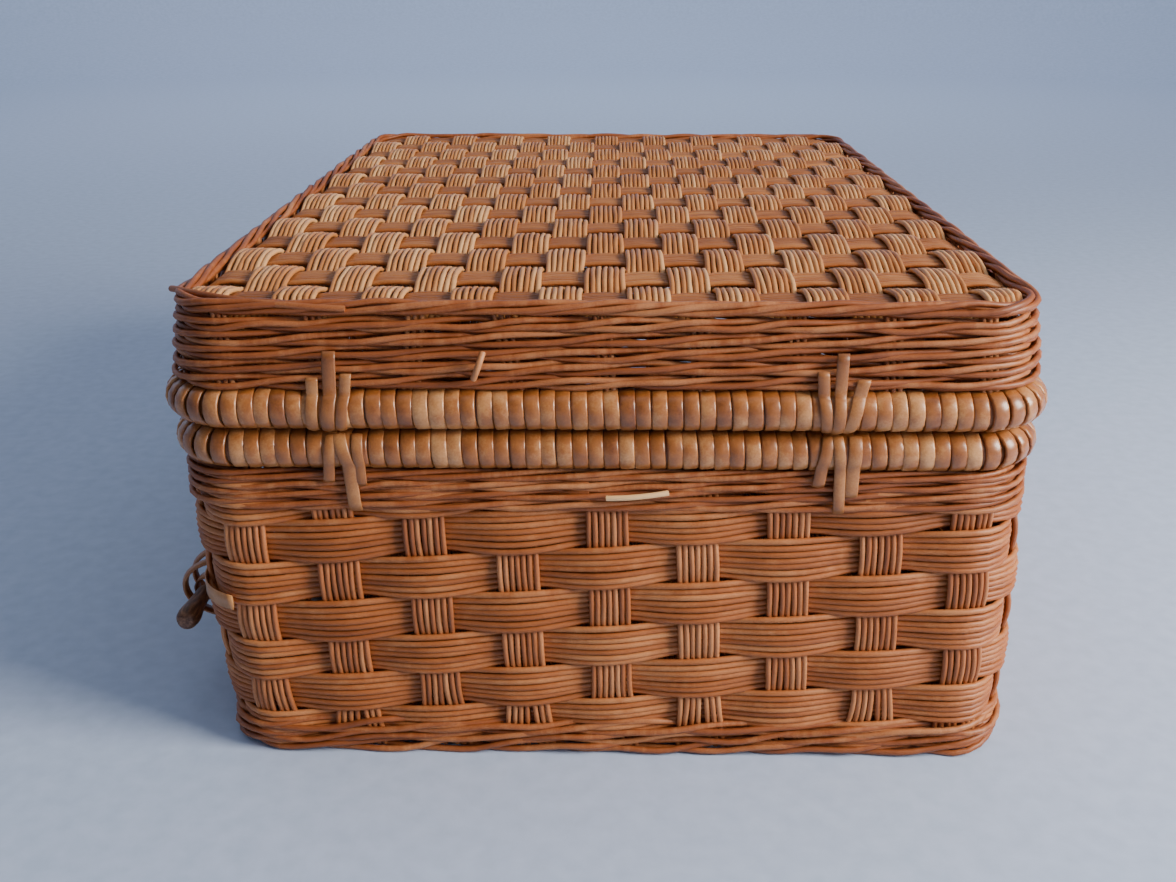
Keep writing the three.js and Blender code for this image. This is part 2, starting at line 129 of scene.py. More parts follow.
@dataclass(frozen=True)
class CaneFinish:
    """Steamed rattan, split into reed or peeled to flat cane.

    Steaming turns the pale fibre a warm red brown that differs from strand to strand; each
    strand also darkens and pales along its length, and its pores show as short streaks.
    """

    name: str
    dark: str
    mid: str
    light: str
    roughness: float
    coat: float = 0.0
    strand_run: float = 38.0  # mm of strand between a dark and a pale stretch
    patch: float = 70.0  # mm across the stained patches
    patch_share: float = 0.25  # how much the patches count in the shade
    pore: float = 0.7  # mm across a pore streak
    bump: float = 0.25
    contrast: float = 1.0

    def material(self) -> bpy.types.Material:
        """Build the material.

        Returns:
            The finished material.
        """
        material = bpy.data.materials.new(self.name)
        material.use_nodes = True
        tree = material.node_tree
        shader = tree.nodes["Principled BSDF"]
        place = add_node(tree, "ShaderNodeTexCoord", {}, {}).outputs["Object"]
        tone = add_node(tree, "ShaderNodeAttribute", {"attribute_name": "tone"}, {})
        fibre = add_node(tree, "ShaderNodeAttribute", {"attribute_name": "fibre"}, {})
        run = add_node(
            tree,
            "ShaderNodeMath",
            {"operation": "MULTIPLY"},
            {0: fibre.outputs["Fac"], 1: 1 / (self.strand_run * MM)},
        )
        lane = add_node(
            tree, "ShaderNodeMath", {"operation": "MULTIPLY"}, {0: tone.outputs["Fac"], 1: 91.0}
        )
        lanes = add_node(
            tree,
            "ShaderNodeCombineXYZ",
            {},
            {"X": run.outputs[0], "Y": lane.outputs[0]},
        )
        along = add_node(
            tree,
            "ShaderNodeTexNoise",
            {"noise_dimensions": "2D"},
            {"Vector": lanes.outputs[0], "Scale": 1.0, "Detail": 3.0, "Roughness": 0.6},
        )
        patches = noise(tree, place, self.patch, 2.0)
        pores = noise(tree, place, self.pore, 2.0, 0.65)
        shade = self._mix(tree, tone.outputs["Fac"], along.outputs["Fac"], 0.36)
        shade = self._mix(tree, shade, patches.outputs["Fac"], self.patch_share)
        shade = self._mix(tree, shade, pores.outputs["Fac"], 0.14)
        ramp = add_node(tree, "ShaderNodeValToRGB", {}, {"Fac": shade})
        spread = 0.26 / self.contrast
        stops = [(0.5 - spread, self.dark), (0.5, self.mid), (0.5 + spread, self.light)]
        set_stops(ramp, stops)
        tree.links.new(ramp.outputs["Color"], shader.inputs["Base Color"])
        gloss = add_node(
            tree,
            "ShaderNodeMapRange",
            {},
            {
                "Value": along.outputs["Fac"],
                "To Min": self.roughness - 0.1,
                "To Max": self.roughness + 0.12,
            },
        )
        tree.links.new(gloss.outputs["Result"], shader.inputs["Roughness"])
        relief = add_node(
            tree,
            "ShaderNodeBump",
            {},
            {"Strength": self.bump, "Distance": 0.12 * MM, "Height": pores.outputs["Fac"]},
        )
        tree.links.new(relief.outputs["Normal"], shader.inputs["Normal"])
        shader.inputs["IOR"].default_value = 1.5
        shader.inputs["Coat Weight"].default_value = self.coat
        shader.inputs["Coat Roughness"].default_value = 0.22
        return material

    @staticmethod
    def _mix(
        tree: bpy.types.NodeTree, a: bpy.types.NodeSocket, b: bpy.types.NodeSocket, share: float
    ) -> bpy.types.NodeSocket:
        """Blend two shades.

        Args:
            tree: the material's tree.
            a: first shade.
            b: second shade.
            share: how much of the second.

        Returns:
            The blended shade.
        """
        inputs = {"Factor": share, 2: a, 3: b}
        return add_node(tree, "ShaderNodeMix", {"data_type": "FLOAT"}, inputs).outputs[0]


@dataclass(frozen=True)
class PegWoodFinish:
    """Turned hardwood, stained and rubbed by the hand: dark brown with a long open grain."""

    name: str = "turned_stained_beech"
    dark: str = "#3a2013"
    mid: str = "#6b452c"
    light: str = "#94694a"
    grain: float = 1.1  # mm between grain lines
    stretch: float = 0.12

    def material(self) -> bpy.types.Material:
        """Build the material.

        Returns:
            The finished material.
        """
        material = bpy.data.materials.new(self.name)
        material.use_nodes = True
        tree = material.node_tree
        shader = tree.nodes["Principled BSDF"]
        place = add_node(tree, "ShaderNodeTexCoord", {}, {}).outputs["Object"]
        drawn = add_node(
            tree, "ShaderNodeMapping", {}, {"Vector": place, "Scale": (1.0, self.stretch, 1.0)}
        )
        grain = noise(tree, drawn.outputs[0], self.grain, 4.0)
        ramp = add_node(tree, "ShaderNodeValToRGB", {}, {"Fac": grain.outputs["Fac"]})
        set_stops(ramp, [(0.3, self.dark), (0.5, self.mid), (0.72, self.light)])
        relief = add_node(
            tree,
            "ShaderNodeBump",
            {},
            {"Strength": 0.3, "Distance": 0.1 * MM, "Height": grain.outputs["Fac"]},
        )
        tree.links.new(ramp.outputs["Color"], shader.inputs["Base Color"])
        tree.links.new(relief.outputs["Normal"], shader.inputs["Normal"])
        shader.inputs["Roughness"].default_value = 0.48
        shader.inputs["IOR"].default_value = 1.5
        return material


@dataclass(frozen=True)
class BenchFinish:
    """Matt paper sweep: a pale cool blue with no gloss."""

    name: str = "matt_paper_sweep"
    dark: str = "#b0c2e0"
    light: str = "#bbccea"
    mottle: float = 9.0  # mm across the faint mottling

    def material(self) -> bpy.types.Material:
        """Build the material.

        Returns:
            The finished material.
        """
        material = bpy.data.materials.new(self.name)
        material.use_nodes = True
        tree = material.node_tree
        shader = tree.nodes["Principled BSDF"]
        place = add_node(tree, "ShaderNodeTexCoord", {}, {}).outputs["Object"]
        mottle = noise(tree, place, self.mottle, 3.0)
        ramp = add_node(tree, "ShaderNodeValToRGB", {}, {"Fac": mottle.outputs["Fac"]})
        set_stops(ramp, [(0.3, self.dark), (0.7, self.light)])
        tree.links.new(ramp.outputs["Color"], shader.inputs["Base Color"])
        shader.inputs["Roughness"].default_value = 0.9
        return material


class Finish(Enum):
    """The finishes of the hamper, by where they are used."""

    WEAVER = CaneFinish("steamed_round_reed", "#5e280c", "#a65e2c", "#de9c64", 0.48)
    STAKE = CaneFinish("steamed_stake_reed", "#5c280d", "#a65f2f", "#dc9c66", 0.5)
    # Painted light: the lid top's lengthwise reeds are coloured paler than the other reeds,
    # standing in for the light that falls on the top.
    LID_LONG = CaneFinish("sun_paled_reed", "#6c3814", "#be7b40", "#f5c68c", 0.44)
    LID_CROSS = CaneFinish("smooth_reed_band", "#5c2c0d", "#9f5f2e", "#cf9259", 0.48)
    TWINE = CaneFinish("twined_thin_reed", "#4c1e08", "#955024", "#da9862", 0.46)
    WRAP = CaneFinish(
        "glossy_peeled_cane",
        "#5f2c0c",
        "#a4632e",
        "#dca46a",
        roughness=0.33,
        coat=0.4,
        strand_run=12.0,
        patch=8.0,
        patch_share=0.38,
        pore=0.9,
        bump=0.25,
        contrast=1.5,
    )
    POLE = CaneFinish("rattan_pole", "#4a250f", "#7b4825", "#a9703f", 0.5, coat=0.15)
    TIE = CaneFinish(
        "flat_binding_cane",
        "#5f2e10",
        "#9c602f",
        "#cb925a",
        roughness=0.38,
        coat=0.25,
        strand_run=14.0,
        patch=12.0,
        patch_share=0.34,
        pore=0.8,
        bump=0.3,
        contrast=1.3,
    )
    PEG = PegWoodFinish()
    BENCH = BenchFinish()


class Finishes:
    """Makes each finish once and hands it out."""

    made: dict[str, bpy.types.Material] = {}

    @classmethod
    def of(cls, finish: Finish) -> bpy.types.Material:
        """Give the material of a finish, made on its first use."""
        if finish.name not in cls.made:
            cls.made[finish.name] = finish.value.material()
        return cls.made[finish.name]


# ---------------------------------------------------------------- strands and strips


def wander(t: Array, period: float, size: float, rng: np.random.Generator, lines: int = 9) -> Array:
    """Slow random drift that closes on itself after one period.

    Args:
        t: places along the strand.
        period: length after which the drift repeats.
        size: rough size of the drift.
        rng: seeded source of randomness.
        lines: how many waves there are in the finest drift.

    Returns:
        The drift at each place.
    """
    total = np.zeros_like(t, dtype=float)
    for k in rng.integers(2, lines + 1, 4):
        total += np.sin(2 * math.pi * k * t / period + rng.uniform(0, 2 * math.pi))
    return total * size / 2


@dataclass
class Strands:
    """Centre lines of many strands, gathered for one piece, in millimetres."""

    points: list[Array] = field(default_factory=list)
    tones: list[Array] = field(default_factory=list)
    girths: list[Array] = field(default_factory=list)
    closed: list[bool] = field(default_factory=list)

    def add(
        self, line: Array, tone: float | Array, girth: float = 1.0, closed: bool = False
    ) -> None:
        """Add one strand.

        Args:
            line: its points, one row each.
            tone: 0 dark to 1 pale, for the strand or for each point.
            girth: thickness as a share of the piece's own.
            closed: True where the end meets the start.
        """
        self.points.append(line)
        self.tones.append(np.broadcast_to(tone, len(line)))
        self.girths.append(np.full(len(line), girth))
        self.closed.append(closed)

    def mesh(self, name: str) -> bpy.types.Mesh:
        """Turn the lines to a mesh of edges with their tone and girth.

        Args:
            name: name of the mesh.

        Returns:
            The mesh.
        """
        edges = []
        start = 0
        for line, closed in zip(self.points, self.closed):
            count = len(line)
            pairs = np.column_stack([np.arange(count - 1), np.arange(1, count)]) + start
            edges.append(pairs)
            if closed:
                edges.append(np.array([[start + count - 1, start]]))
            start += count
        mesh = bpy.data.meshes.new(name)
        places = np.concatenate(self.points) * MM
        mesh.from_pydata(places.tolist(), np.concatenate(edges).tolist(), [])
        for label, values in (("tone", self.tones), ("girth", self.girths)):
            layer = mesh.attributes.new(label, "FLOAT", "POINT")
            layer.data.foreach_set("value", np.concatenate(values).astype(np.float32))
        return mesh


def strand_tree() -> bpy.types.NodeTree:
    """Build the tree that gives edge lines a round body.

    Returns:
        The tree, with inputs Radius, Sides and Finish.
    """
    tree = bpy.data.node_groups.new("round_strands", "GeometryNodeTree")
    face = tree.interface
    face.new_socket("Lines", in_out="INPUT", socket_type="NodeSocketGeometry")
    face.new_socket("Radius", in_out="INPUT", socket_type="NodeSocketFloat")
    face.new_socket("Sides", in_out="INPUT", socket_type="NodeSocketInt")
    face.new_socket("Finish", in_out="INPUT", socket_type="NodeSocketMaterial")
    face.new_socket("Strands", in_out="OUTPUT", socket_type="NodeSocketGeometry")
    given = add_node(tree, "NodeGroupInput", {}, {})
    curve = add_node(tree, "GeometryNodeMeshToCurve", {}, {"Mesh": given.outputs["Lines"]})
    length = add_node(tree, "GeometryNodeSplineParameter", {}, {}).outputs["Length"]
    inputs = {"Geometry": curve.outputs[0], "Name": "fibre", "Value": length}
    marked = add_node(tree, "GeometryNodeStoreNamedAttribute", {}, inputs)
    girth = add_node(tree, "GeometryNodeInputNamedAttribute", {}, {"Name": "girth"})
    inputs = {"Resolution": given.outputs["Sides"], "Radius": given.outputs["Radius"]}
    circle = add_node(tree, "GeometryNodeCurvePrimitiveCircle", {}, inputs)
    inputs = {
        "Curve": marked.outputs[0],
        "Profile Curve": circle.outputs["Curve"],
        "Scale": girth.outputs["Attribute"],
        "Fill Caps": True,
    }
    body = add_node(tree, "GeometryNodeCurveToMesh", {}, inputs)
    smooth = add_node(tree, "GeometryNodeSetShadeSmooth", {}, {"Geometry": body.outputs[0]})
    real = add_node(tree, "GeometryNodeRealizeInstances", {}, {"Geometry": smooth.outputs[0]})
    inputs = {"Geometry": real.outputs[0], "Material": given.outputs["Finish"]}
    dressed = add_node(tree, "GeometryNodeSetMaterial", {}, inputs)
    add_node(tree, "NodeGroupOutput", {}, {"Strands": dressed.outputs[0]})
    return tree


def turn_tree() -> bpy.types.NodeTree:
    """Build the tree that sets one turn of cane at every point of a path.

    Returns:
        The tree, with inputs Turn and Finish; the points carry their own two axes.
    """
    tree = bpy.data.node_groups.new("cane_turns", "GeometryNodeTree")
    face = tree.interface
    face.new_socket("Path", in_out="INPUT", socket_type="NodeSocketGeometry")
    face.new_socket("Turn", in_out="INPUT", socket_type="NodeSocketObject")
    face.new_socket("Finish", in_out="INPUT", socket_type="NodeSocketMaterial")
    face.new_socket("Turns", in_out="OUTPUT", socket_type="NodeSocketGeometry")
    given = add_node(tree, "NodeGroupInput", {}, {})
    points = add_node(tree, "GeometryNodeMeshToPoints", {}, {"Mesh": given.outputs["Path"]})
    vector = {"data_type": "FLOAT_VECTOR"}
    along = add_node(tree, "GeometryNodeInputNamedAttribute", vector, {"Name": "along"})
    outward = add_node(tree, "GeometryNodeInputNamedAttribute", vector, {"Name": "outward"})
    girth = add_node(tree, "GeometryNodeInputNamedAttribute", {}, {"Name": "girth"})
    turned = add_node(
        tree,
        "FunctionNodeAxesToRotation",
        {"primary_axis": "Z", "secondary_axis": "X"},
        {
            "Primary Axis": along.outputs["Attribute"],
            "Secondary Axis": outward.outputs["Attribute"],
        },
    )
    turn = add_node(tree, "GeometryNodeObjectInfo", {}, {"Object": given.outputs["Turn"]})
    inputs = {
        "Points": points.outputs[0],
        "Instance": turn.outputs["Geometry"],
        "Rotation": turned.outputs[0],
        "Scale": girth.outputs["Attribute"],
    }
    placed = add_node(tree, "GeometryNodeInstanceOnPoints", {}, inputs)
    real = add_node(tree, "GeometryNodeRealizeInstances", {}, {"Geometry": placed.outputs[0]})
    smooth = add_node(tree, "GeometryNodeSetShadeSmooth", {}, {"Geometry": real.outputs[0]})
    inputs = {"Geometry": smooth.outputs[0], "Material": given.outputs["Finish"]}
    dressed = add_node(tree, "GeometryNodeSetMaterial", {}, inputs)
    add_node(tree, "NodeGroupOutput", {}, {"Turns": dressed.outputs[0]})
    return tree


def point_outwards(mesh: bpy.types.Mesh) -> None:
    """Turn a closed mesh's faces outwards, judged by the sign of its volume.

    Args:
        mesh: the mesh, all of it wound one way.
    """
    mesh.calc_loop_triangles()
    corners = np.zeros(len(mesh.loop_triangles) * 3, dtype=np.int32)
    mesh.loop_triangles.foreach_get("vertices", corners)
    places = np.zeros(len(mesh.vertices) * 3)
    mesh.vertices.foreach_get("co", places)
    a, b, c = places.reshape(-1, 3)[corners.reshape(-1, 3)].transpose(1, 0, 2)
    if np.einsum("ij,ij->i", a, np.cross(b, c)).sum() < 0:
        mesh.flip_normals()


class Workshop:
    """Turns lines and grids to plain mesh objects and seats them on the frame."""

    def __init__(self) -> None:
        """Build the two node trees."""
        self.strands = strand_tree()
        self.turns = turn_tree()

    def _settle(
        self, rough: bpy.types.Object, tree: bpy.types.NodeTree, values: dict
    ) -> bpy.types.Object:
        """Run a tree on an object and keep its result as a plain mesh.

        Args:
            rough: object with the input mesh.
            tree: the node tree.
            values: value of each named input.

        Returns:
            A new object with the same name and no modifier.
        """
        name = rough.name
        modifier = rough.modifiers.new("make", "NODES")
        modifier.node_group = tree
        for item in tree.interface.items_tree:
            if item.in_out == "INPUT" and item.name in values:
                modifier[item.identifier] = values[item.name]
        bpy.context.view_layer.update()
        graph = bpy.context.evaluated_depsgraph_get()
        mesh = bpy.data.meshes.new_from_object(
            rough.evaluated_get(graph), preserve_all_data_layers=True, depsgraph=graph
        )
        old = rough.data
        rough.modifiers.clear()
        bpy.data.objects.remove(rough)
        bpy.data.meshes.remove(old)
        mesh.name = name
        point_outwards(mesh)
        made = bpy.data.objects.new(name, mesh)
        bpy.context.scene.collection.objects.link(made)
        return made

    def _rough(self, name: str, mesh: bpy.types.Mesh) -> bpy.types.Object:
        """Link a mesh as an object."""
        made = bpy.data.objects.new(name, mesh)
        bpy.context.scene.collection.objects.link(made)
        return made

    def round(
        self, name: str, lines: Strands, radius: float, finish: Finish, sides: int = 6
    ) -> bpy.types.Object:
        """Make round strands.

        Args:
            name: name of the piece.
            lines: their centre lines.
            radius: radius of a strand, mm.
            finish: the finish.
            sides: faces round a strand.

        Returns:
            The piece.
        """
        values = {"Radius": radius * MM, "Sides": sides, "Finish": Finishes.of(finish)}
        return self._settle(self._rough(name, lines.mesh(name)), self.strands, values)

    def wound(
        self, name: str, path: "TurnPath", turn: bpy.types.Mesh, finish: Finish
    ) -> bpy.types.Object:
        """Set a turn of cane at each point of a path.

        Args:
            name: name of the piece.
            path: points and axes of the turns.
            turn: mesh of one turn round Z.
            finish: the finish.

        Returns:
            The piece.
        """
        pattern = self._rough(name + "_turn", turn)
        values = {"Turn": pattern, "Finish": Finishes.of(finish)}
        made = self._settle(self._rough(name, path.mesh(name)), self.turns, values)
        bpy.data.objects.remove(pattern)
        return made

    def flat(self, name: str, strips: "Strips", finish: Finish) -> bpy.types.Object:
        """Make flat cane strips.

        Args:
            name: name of the piece.
            strips: the gathered strips.
            finish: the finish.

        Returns:
            The piece.
        """
        mesh = strips.mesh(name)
        mesh.materials.append(Finishes.of(finish))
        return self._rough(name, mesh)

    @staticmethod
    def seat(piece: bpy.types.Object, body: str, nodes: list[str], slot: str) -> None:
        """Seat a piece on its body in place of its plain solids.

        Args:
            piece: the piece.
            body: the body that it moves with.
            nodes: the plain solids that it stands for.
            slot: not used.
        """
        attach(piece, body)
        if nodes:
            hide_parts(*nodes)
        piece.data.calc_loop_triangles()
        LOG.info("%s: %d triangles on %s", piece.name, len(piece.data.loop_triangles), body)


@dataclass
class TurnPath:
    """Places of the turns of a winding, with the two axes of each."""

    places: Array
    along: Array
    outward: Array
    tones: Array
    girths: Array

    def mesh(self, name: str) -> bpy.types.Mesh:
        """Turn the places to a mesh of loose points.

        Args:
            name: name of the mesh.

        Returns:
            The mesh, with the attributes that the turns read.
        """
        mesh = bpy.data.meshes.new(name)
        mesh.from_pydata((self.places * MM).tolist(), [], [])
        for label, values in (("along", self.along), ("outward", self.outward)):
            layer = mesh.attributes.new(label, "FLOAT_VECTOR", "POINT")
            layer.data.foreach_set("vector", values.astype(np.float32).ravel())
        for label, values in (("tone", self.tones), ("girth", self.girths)):
            layer = mesh.attributes.new(label, "FLOAT", "POINT")
            layer.data.foreach_set("value", values.astype(np.float32))
        return mesh


@dataclass
class Strips:
    """Flat cane strips, each swept along its own line, gathered for one piece, in millimetres."""

    places: list[Array] = field(default_factory=list)
    faces: list[list[list[int]]] = field(default_factory=list)
    tones: list[Array] = field(default_factory=list)
    fibres: list[Array] = field(default_factory=list)
    count: int = 0

    def add(
        self,
        line: Array,
        across: Array,
        width: float,
        thickness: float,
        tone: float,
        closed: bool = False,
        crown: float = 0.3,
    ) -> None:
        """Sweep one strip.

        Args:
            line: points of its inner face, one row each.
            across: direction of its width, one for all points or one each.
            width: its width.
            thickness: its thickness at the middle.
            tone: 0 dark to 1 pale.
            closed: True where the end meets the start.
            crown: share of the thickness lost at the edges.
        """
        count = len(line)
        if closed:
            ahead = np.roll(line, -1, axis=0) - np.roll(line, 1, axis=0)
        else:
            ahead = np.gradient(line, axis=0)
        ahead /= np.linalg.norm(ahead, axis=1, keepdims=True)
        wide = np.broadcast_to(across, line.shape)
        wide = wide / np.linalg.norm(wide, axis=1, keepdims=True)
        out = np.cross(ahead, wide)
        half, edge = width / 2, thickness * (1 - crown)
        section = [
            (-half, 0.0),
            (-half, edge * 0.6),
            (-half * 0.8, edge),
            (0.0, thickness),
            (half * 0.8, edge),
            (half, edge * 0.6),
            (half, 0.0),
        ]
        rings = [line + wide * w + out * n for w, n in section]
        size = len(section)
        places = np.stack(rings, axis=1).reshape(-1, 3)
        faces = []
        for i in range(count if closed else count - 1):
            j = (i + 1) % count
            for k in range(size):
                m = (k + 1) % size
                faces.append([i * size + k, i * size + m, j * size + m, j * size + k])
        if not closed:
            faces.append(list(range(size))[::-1])
            faces.append([(count - 1) * size + k for k in range(size)])
        steps = np.linalg.norm(np.diff(line, axis=0), axis=1)
        run = np.concatenate([[0.0], np.cumsum(steps)]) * MM
        self.places.append(places)
        self.faces.append([[v + self.count for v in f] for f in faces])
        self.tones.append(np.full(len(places), tone))
        self.fibres.append(np.repeat(run, size))
        self.count += len(places)

    def mesh(self, name: str) -> bpy.types.Mesh:
        """Join the strips to one mesh.

        Args:
            name: name of the mesh.

        Returns:
            The mesh, smooth shaded, with faces outwards.
        """
        mesh = bpy.data.meshes.new(name)
        places = np.concatenate(self.places) * MM
        mesh.from_pydata(places.tolist(), [], [f for part in self.faces for f in part])
        for label, values in (("tone", self.tones), ("fibre", self.fibres)):
            layer = mesh.attributes.new(label, "FLOAT", "POINT")
            layer.data.foreach_set("value", np.concatenate(values).astype(np.float32))
        mesh.polygons.foreach_set("use_smooth", [True] * len(mesh.polygons))
        mesh.validate()
        point_outwards(mesh)
        return mesh


# ---------------------------------------------------------------- plan of the hamper


@dataclass(frozen=True)
class Plan:
    """Rounded rectangle that the walls and rims follow, from the middle of the near end."""

    half_x: float = 160.0
    half_y: float = 224.0
    corner: float = 24.0

    def runs(self) -> list[tuple[float, float, float, float, float]]:
        """List the straights and corners in order.

        Returns:
            For each: its start x and y, heading in radians, length, and turn in radians.
        """
        a, b, r = self.half_x - self.corner, self.half_y - self.corner, self.corner
        bend, quarter = r * math.pi / 2, math.pi / 2
        return [
            (0.0, -self.half_y, 0.0, a, 0.0),
            (a, -self.half_y, 0.0, bend, quarter),
            (self.half_x, -b, quarter, 2 * b, 0.0),
            (self.half_x, b, quarter, bend, quarter),
            (a, self.half_y, math.pi, 2 * a, 0.0),
            (-a, self.half_y, math.pi, bend, quarter),
            (-self.half_x, b, -quarter, 2 * b, 0.0),
            (-self.half_x, -b, -quarter, bend, quarter),
            (-a, -self.half_y, 0.0, a, 0.0),
        ]

    @property
    def length(self) -> float:
        """Length of the whole path."""
        return sum(run[3] for run in self.runs())

    def at(self, s: Array, out: Array | float, z: Array | float) -> tuple[Array, Array]:
        """Places beside the path.

        Args:
            s: distances along the path.
            out: distance outwards from it.
            z: height.

        Returns:
            The places and the outward directions, one row each.
        """
        s = np.mod(np.asarray(s, dtype=float), self.length)
        base = np.zeros((len(s), 2))
        heading = np.zeros(len(s))
        begin = 0.0
        for x, y, angle, size, turn in self.runs():
            here = (s >= begin) & (s <= begin + size)
            part = s[here] - begin
            if turn:
                radius = size / turn
                facing = angle + part / radius
                cx, cy = x - radius * math.sin(angle), y + radius * math.cos(angle)
                base[here, 0] = cx + radius * np.sin(facing)
                base[here, 1] = cy - radius * np.cos(facing)
                heading[here] = facing
            else:
                base[here, 0] = x + part * math.cos(angle)
                base[here, 1] = y + part * math.sin(angle)
                heading[here] = angle
            begin += size
        normal = np.column_stack([np.sin(heading), -np.cos(heading)])
        flat = base + normal * np.reshape(np.broadcast_to(out, len(s)), (-1, 1))
        places = np.column_stack([flat, np.broadcast_to(z, len(s))])
        return places, np.column_stack([normal, np.zeros(len(s))])


PLAN = Plan()


@dataclass(frozen=True)
class Stakes:
    """Where the upright bundles stand round the plan, numbered from the near end's middle."""

    short_pitch: float = 34.5
    long_pitch: float = 33.4
    short_each_way: int = 4
    long_each_way: int = 6

    @property
    def count(self) -> int:
        """Number of bundles."""
        return 2 * (2 * self.short_each_way + 1) + 2 * (2 * self.long_each_way + 1)

    def distances(self) -> Array:
        """Distance of each bundle along the plan's path, for a whole turn."""
        long_mid = PLAN.half_x - PLAN.corner + PLAN.corner * math.pi / 2 + PLAN.half_y - PLAN.corner
        half = PLAN.length / 2
        short = np.arange(-self.short_each_way, self.short_each_way + 1) * self.short_pitch
        long = np.arange(-self.long_each_way, self.long_each_way + 1) * self.long_pitch
        right, left = long_mid + long, PLAN.length - long_mid + long
        near_first, near_last = short[self.short_each_way :], short[: self.short_each_way]
        return np.concatenate([near_first, right, half + short, left, PLAN.length + near_last])

    def distance(self, t: Array) -> Array:
        """Distance along the path at a bundle number, between bundles too.

        Args:
            t: bundle numbers, of any turn.

        Returns:
            The distances.
        """
        turn = np.floor(t / self.count)
        marks = np.append(self.distances(), PLAN.length)
        inside = np.interp(t - turn * self.count, np.arange(self.count + 1), marks)
        return inside + turn * PLAN.length


STAKES = Stakes()


# ---------------------------------------------------------------- woven and twined work


@dataclass
class WovenWall:
    """Base wall: bands of seven reeds woven over and under upright bundles of seven."""

    top: float = 125.9
    flare: float = 2.1
    bulge: float = 2.4
    taper: float = 3.0
    thickness: float = 6.0
    band_pitch: float = 17.1
    band_reed_step: float = 2.45
    band_swing: float = 2.4
    stake_swing: float = 1.3
    stake_reed_step: float = 2.34
    reed_radius: float = 1.29
    reeds: int = 7
    mark: float = 103.55  # height of a band at the middle of the near end
    low: float = 5.0  # the bands start behind the foot border
    high: float = 120.5  # and end behind the waling
    float_spread: float = 0.07  # share by which a band widens where it lies outside
    lean: float = 5.5  # how far the foot has settled towards the hinge side

    def offset(self, z: Array | float) -> Array:
        """Outer face beyond the plan at a height."""
        u = np.clip(np.asarray(z, dtype=float) / self.top, 0, 1)
        return self.flare + self.bulge * np.sin(np.pi * u) - self.taper * (1 - u)

    def middle(self, z: Array | float) -> Array:
        """Middle of the weave beyond the plan at a height."""
        return self.offset(z) - self.thickness / 2 - 0.4

    def settle(self, places: Array) -> Array:
        """Shift places on the base by its lean, most at the foot.

        Args:
            places: rows of places.

        Returns:
            The shifted places.
        """
        share = np.clip(1 - places[:, 2] / self.top, 0, 1)
        return places + np.outer(share, [self.lean, 0.0, 0.0])

    def climb(self, t: Array) -> Array:
        """Bands climbed at a bundle number: one over each short end.

        Args:
            t: bundle numbers.

        Returns:
            The climb in bands.
        """
        s, n = STAKES.short_each_way, STAKES.count
        turn = np.floor(t / n)
        marks = [0, s, n / 2 - s, n / 2 + s, n - s, n]
        return np.interp(t - turn * n, marks, [0, 0.5, 0.5, 1.5, 1.5, 2]) + 2 * turn

    def weavers(self, rng: np.random.Generator) -> Strands:
        """Draw the two chasing spirals of weaver bands.

        Args:
            rng: seeded source of randomness.

        Returns:
            The reeds' centre lines.
        """
        lines = Strands()
        n = STAKES.count
        for start in (0, 1):
            t = np.arange(-4 * n, n, 1 / 6)
            level = self.mark + self.band_pitch * (self.climb(t) + start)
            keep = (level > self.low) & (level < self.high)
            t, level = t[keep], level[keep]
            swing = -self.band_swing * np.cos(np.pi * (t + start))
            band_shift = wander(t, 5 * n, 0.35, rng, 60)
            for reed in range(self.reeds):
                place = (reed - (self.reeds - 1) / 2) * self.band_reed_step
                spread = 1 + self.float_spread * swing / self.band_swing
                z = level + place * spread + band_shift + wander(t, 5 * n, 0.22, rng, 90)
                recede = 0.4 * (2 * place / (self.reeds * self.band_reed_step)) ** 2
                out = self.middle(z) + swing - recede + wander(t, 5 * n, 0.16, rng, 120)
                places, _ = PLAN.at(STAKES.distance(t), out, np.clip(z, 4.0, 121.0))
                tone = rng.uniform(0.36, 0.64) + wander(t, 5 * n, 0.05, rng, 60)
                lines.add(self.settle(places), tone, rng.uniform(0.95, 1.02))
        return lines

    def uprights(self, rng: np.random.Generator) -> Strands:
        """Draw the upright bundles.

        Args:
            rng: seeded source of randomness.

        Returns:
            The reeds' centre lines.
        """
        lines = Strands()
        z = np.arange(2.5, 124.6, 3.4)
        for number in range(STAKES.count):
            climb = self.climb(np.array([float(number)]))[0]
            phase = (z - self.mark) / self.band_pitch - climb + number
            fade = np.clip((z - 8) / 10, 0, 1) * np.clip((118 - z) / 8, 0, 1)
            swing = self.stake_swing * np.cos(np.pi * phase) * fade
            lean = rng.normal(0, 0.5)
            splay = 1.7 * np.clip((34 - z) / 24, 0, 1) ** 1.5
            for reed in range(self.reeds):
                side = reed - (self.reeds - 1) / 2
                lane = side * self.stake_reed_step + lean * (z / 60 - 1)
                lane = lane + splay * (1 if side > 0 else -1) * (0.6 + 0.2 * abs(side))
                lane = lane + wander(z, 160, 0.14, rng, 6)
                out = self.middle(z) + swing + wander(z, 160, 0.12, rng, 6)
                centre = STAKES.distances()[number]
                places, _ = PLAN.at(centre + lane, out, z)
                lines.add(self.settle(places), rng.uniform(0.32, 0.72), rng.uniform(0.9, 1.0))
        return lines


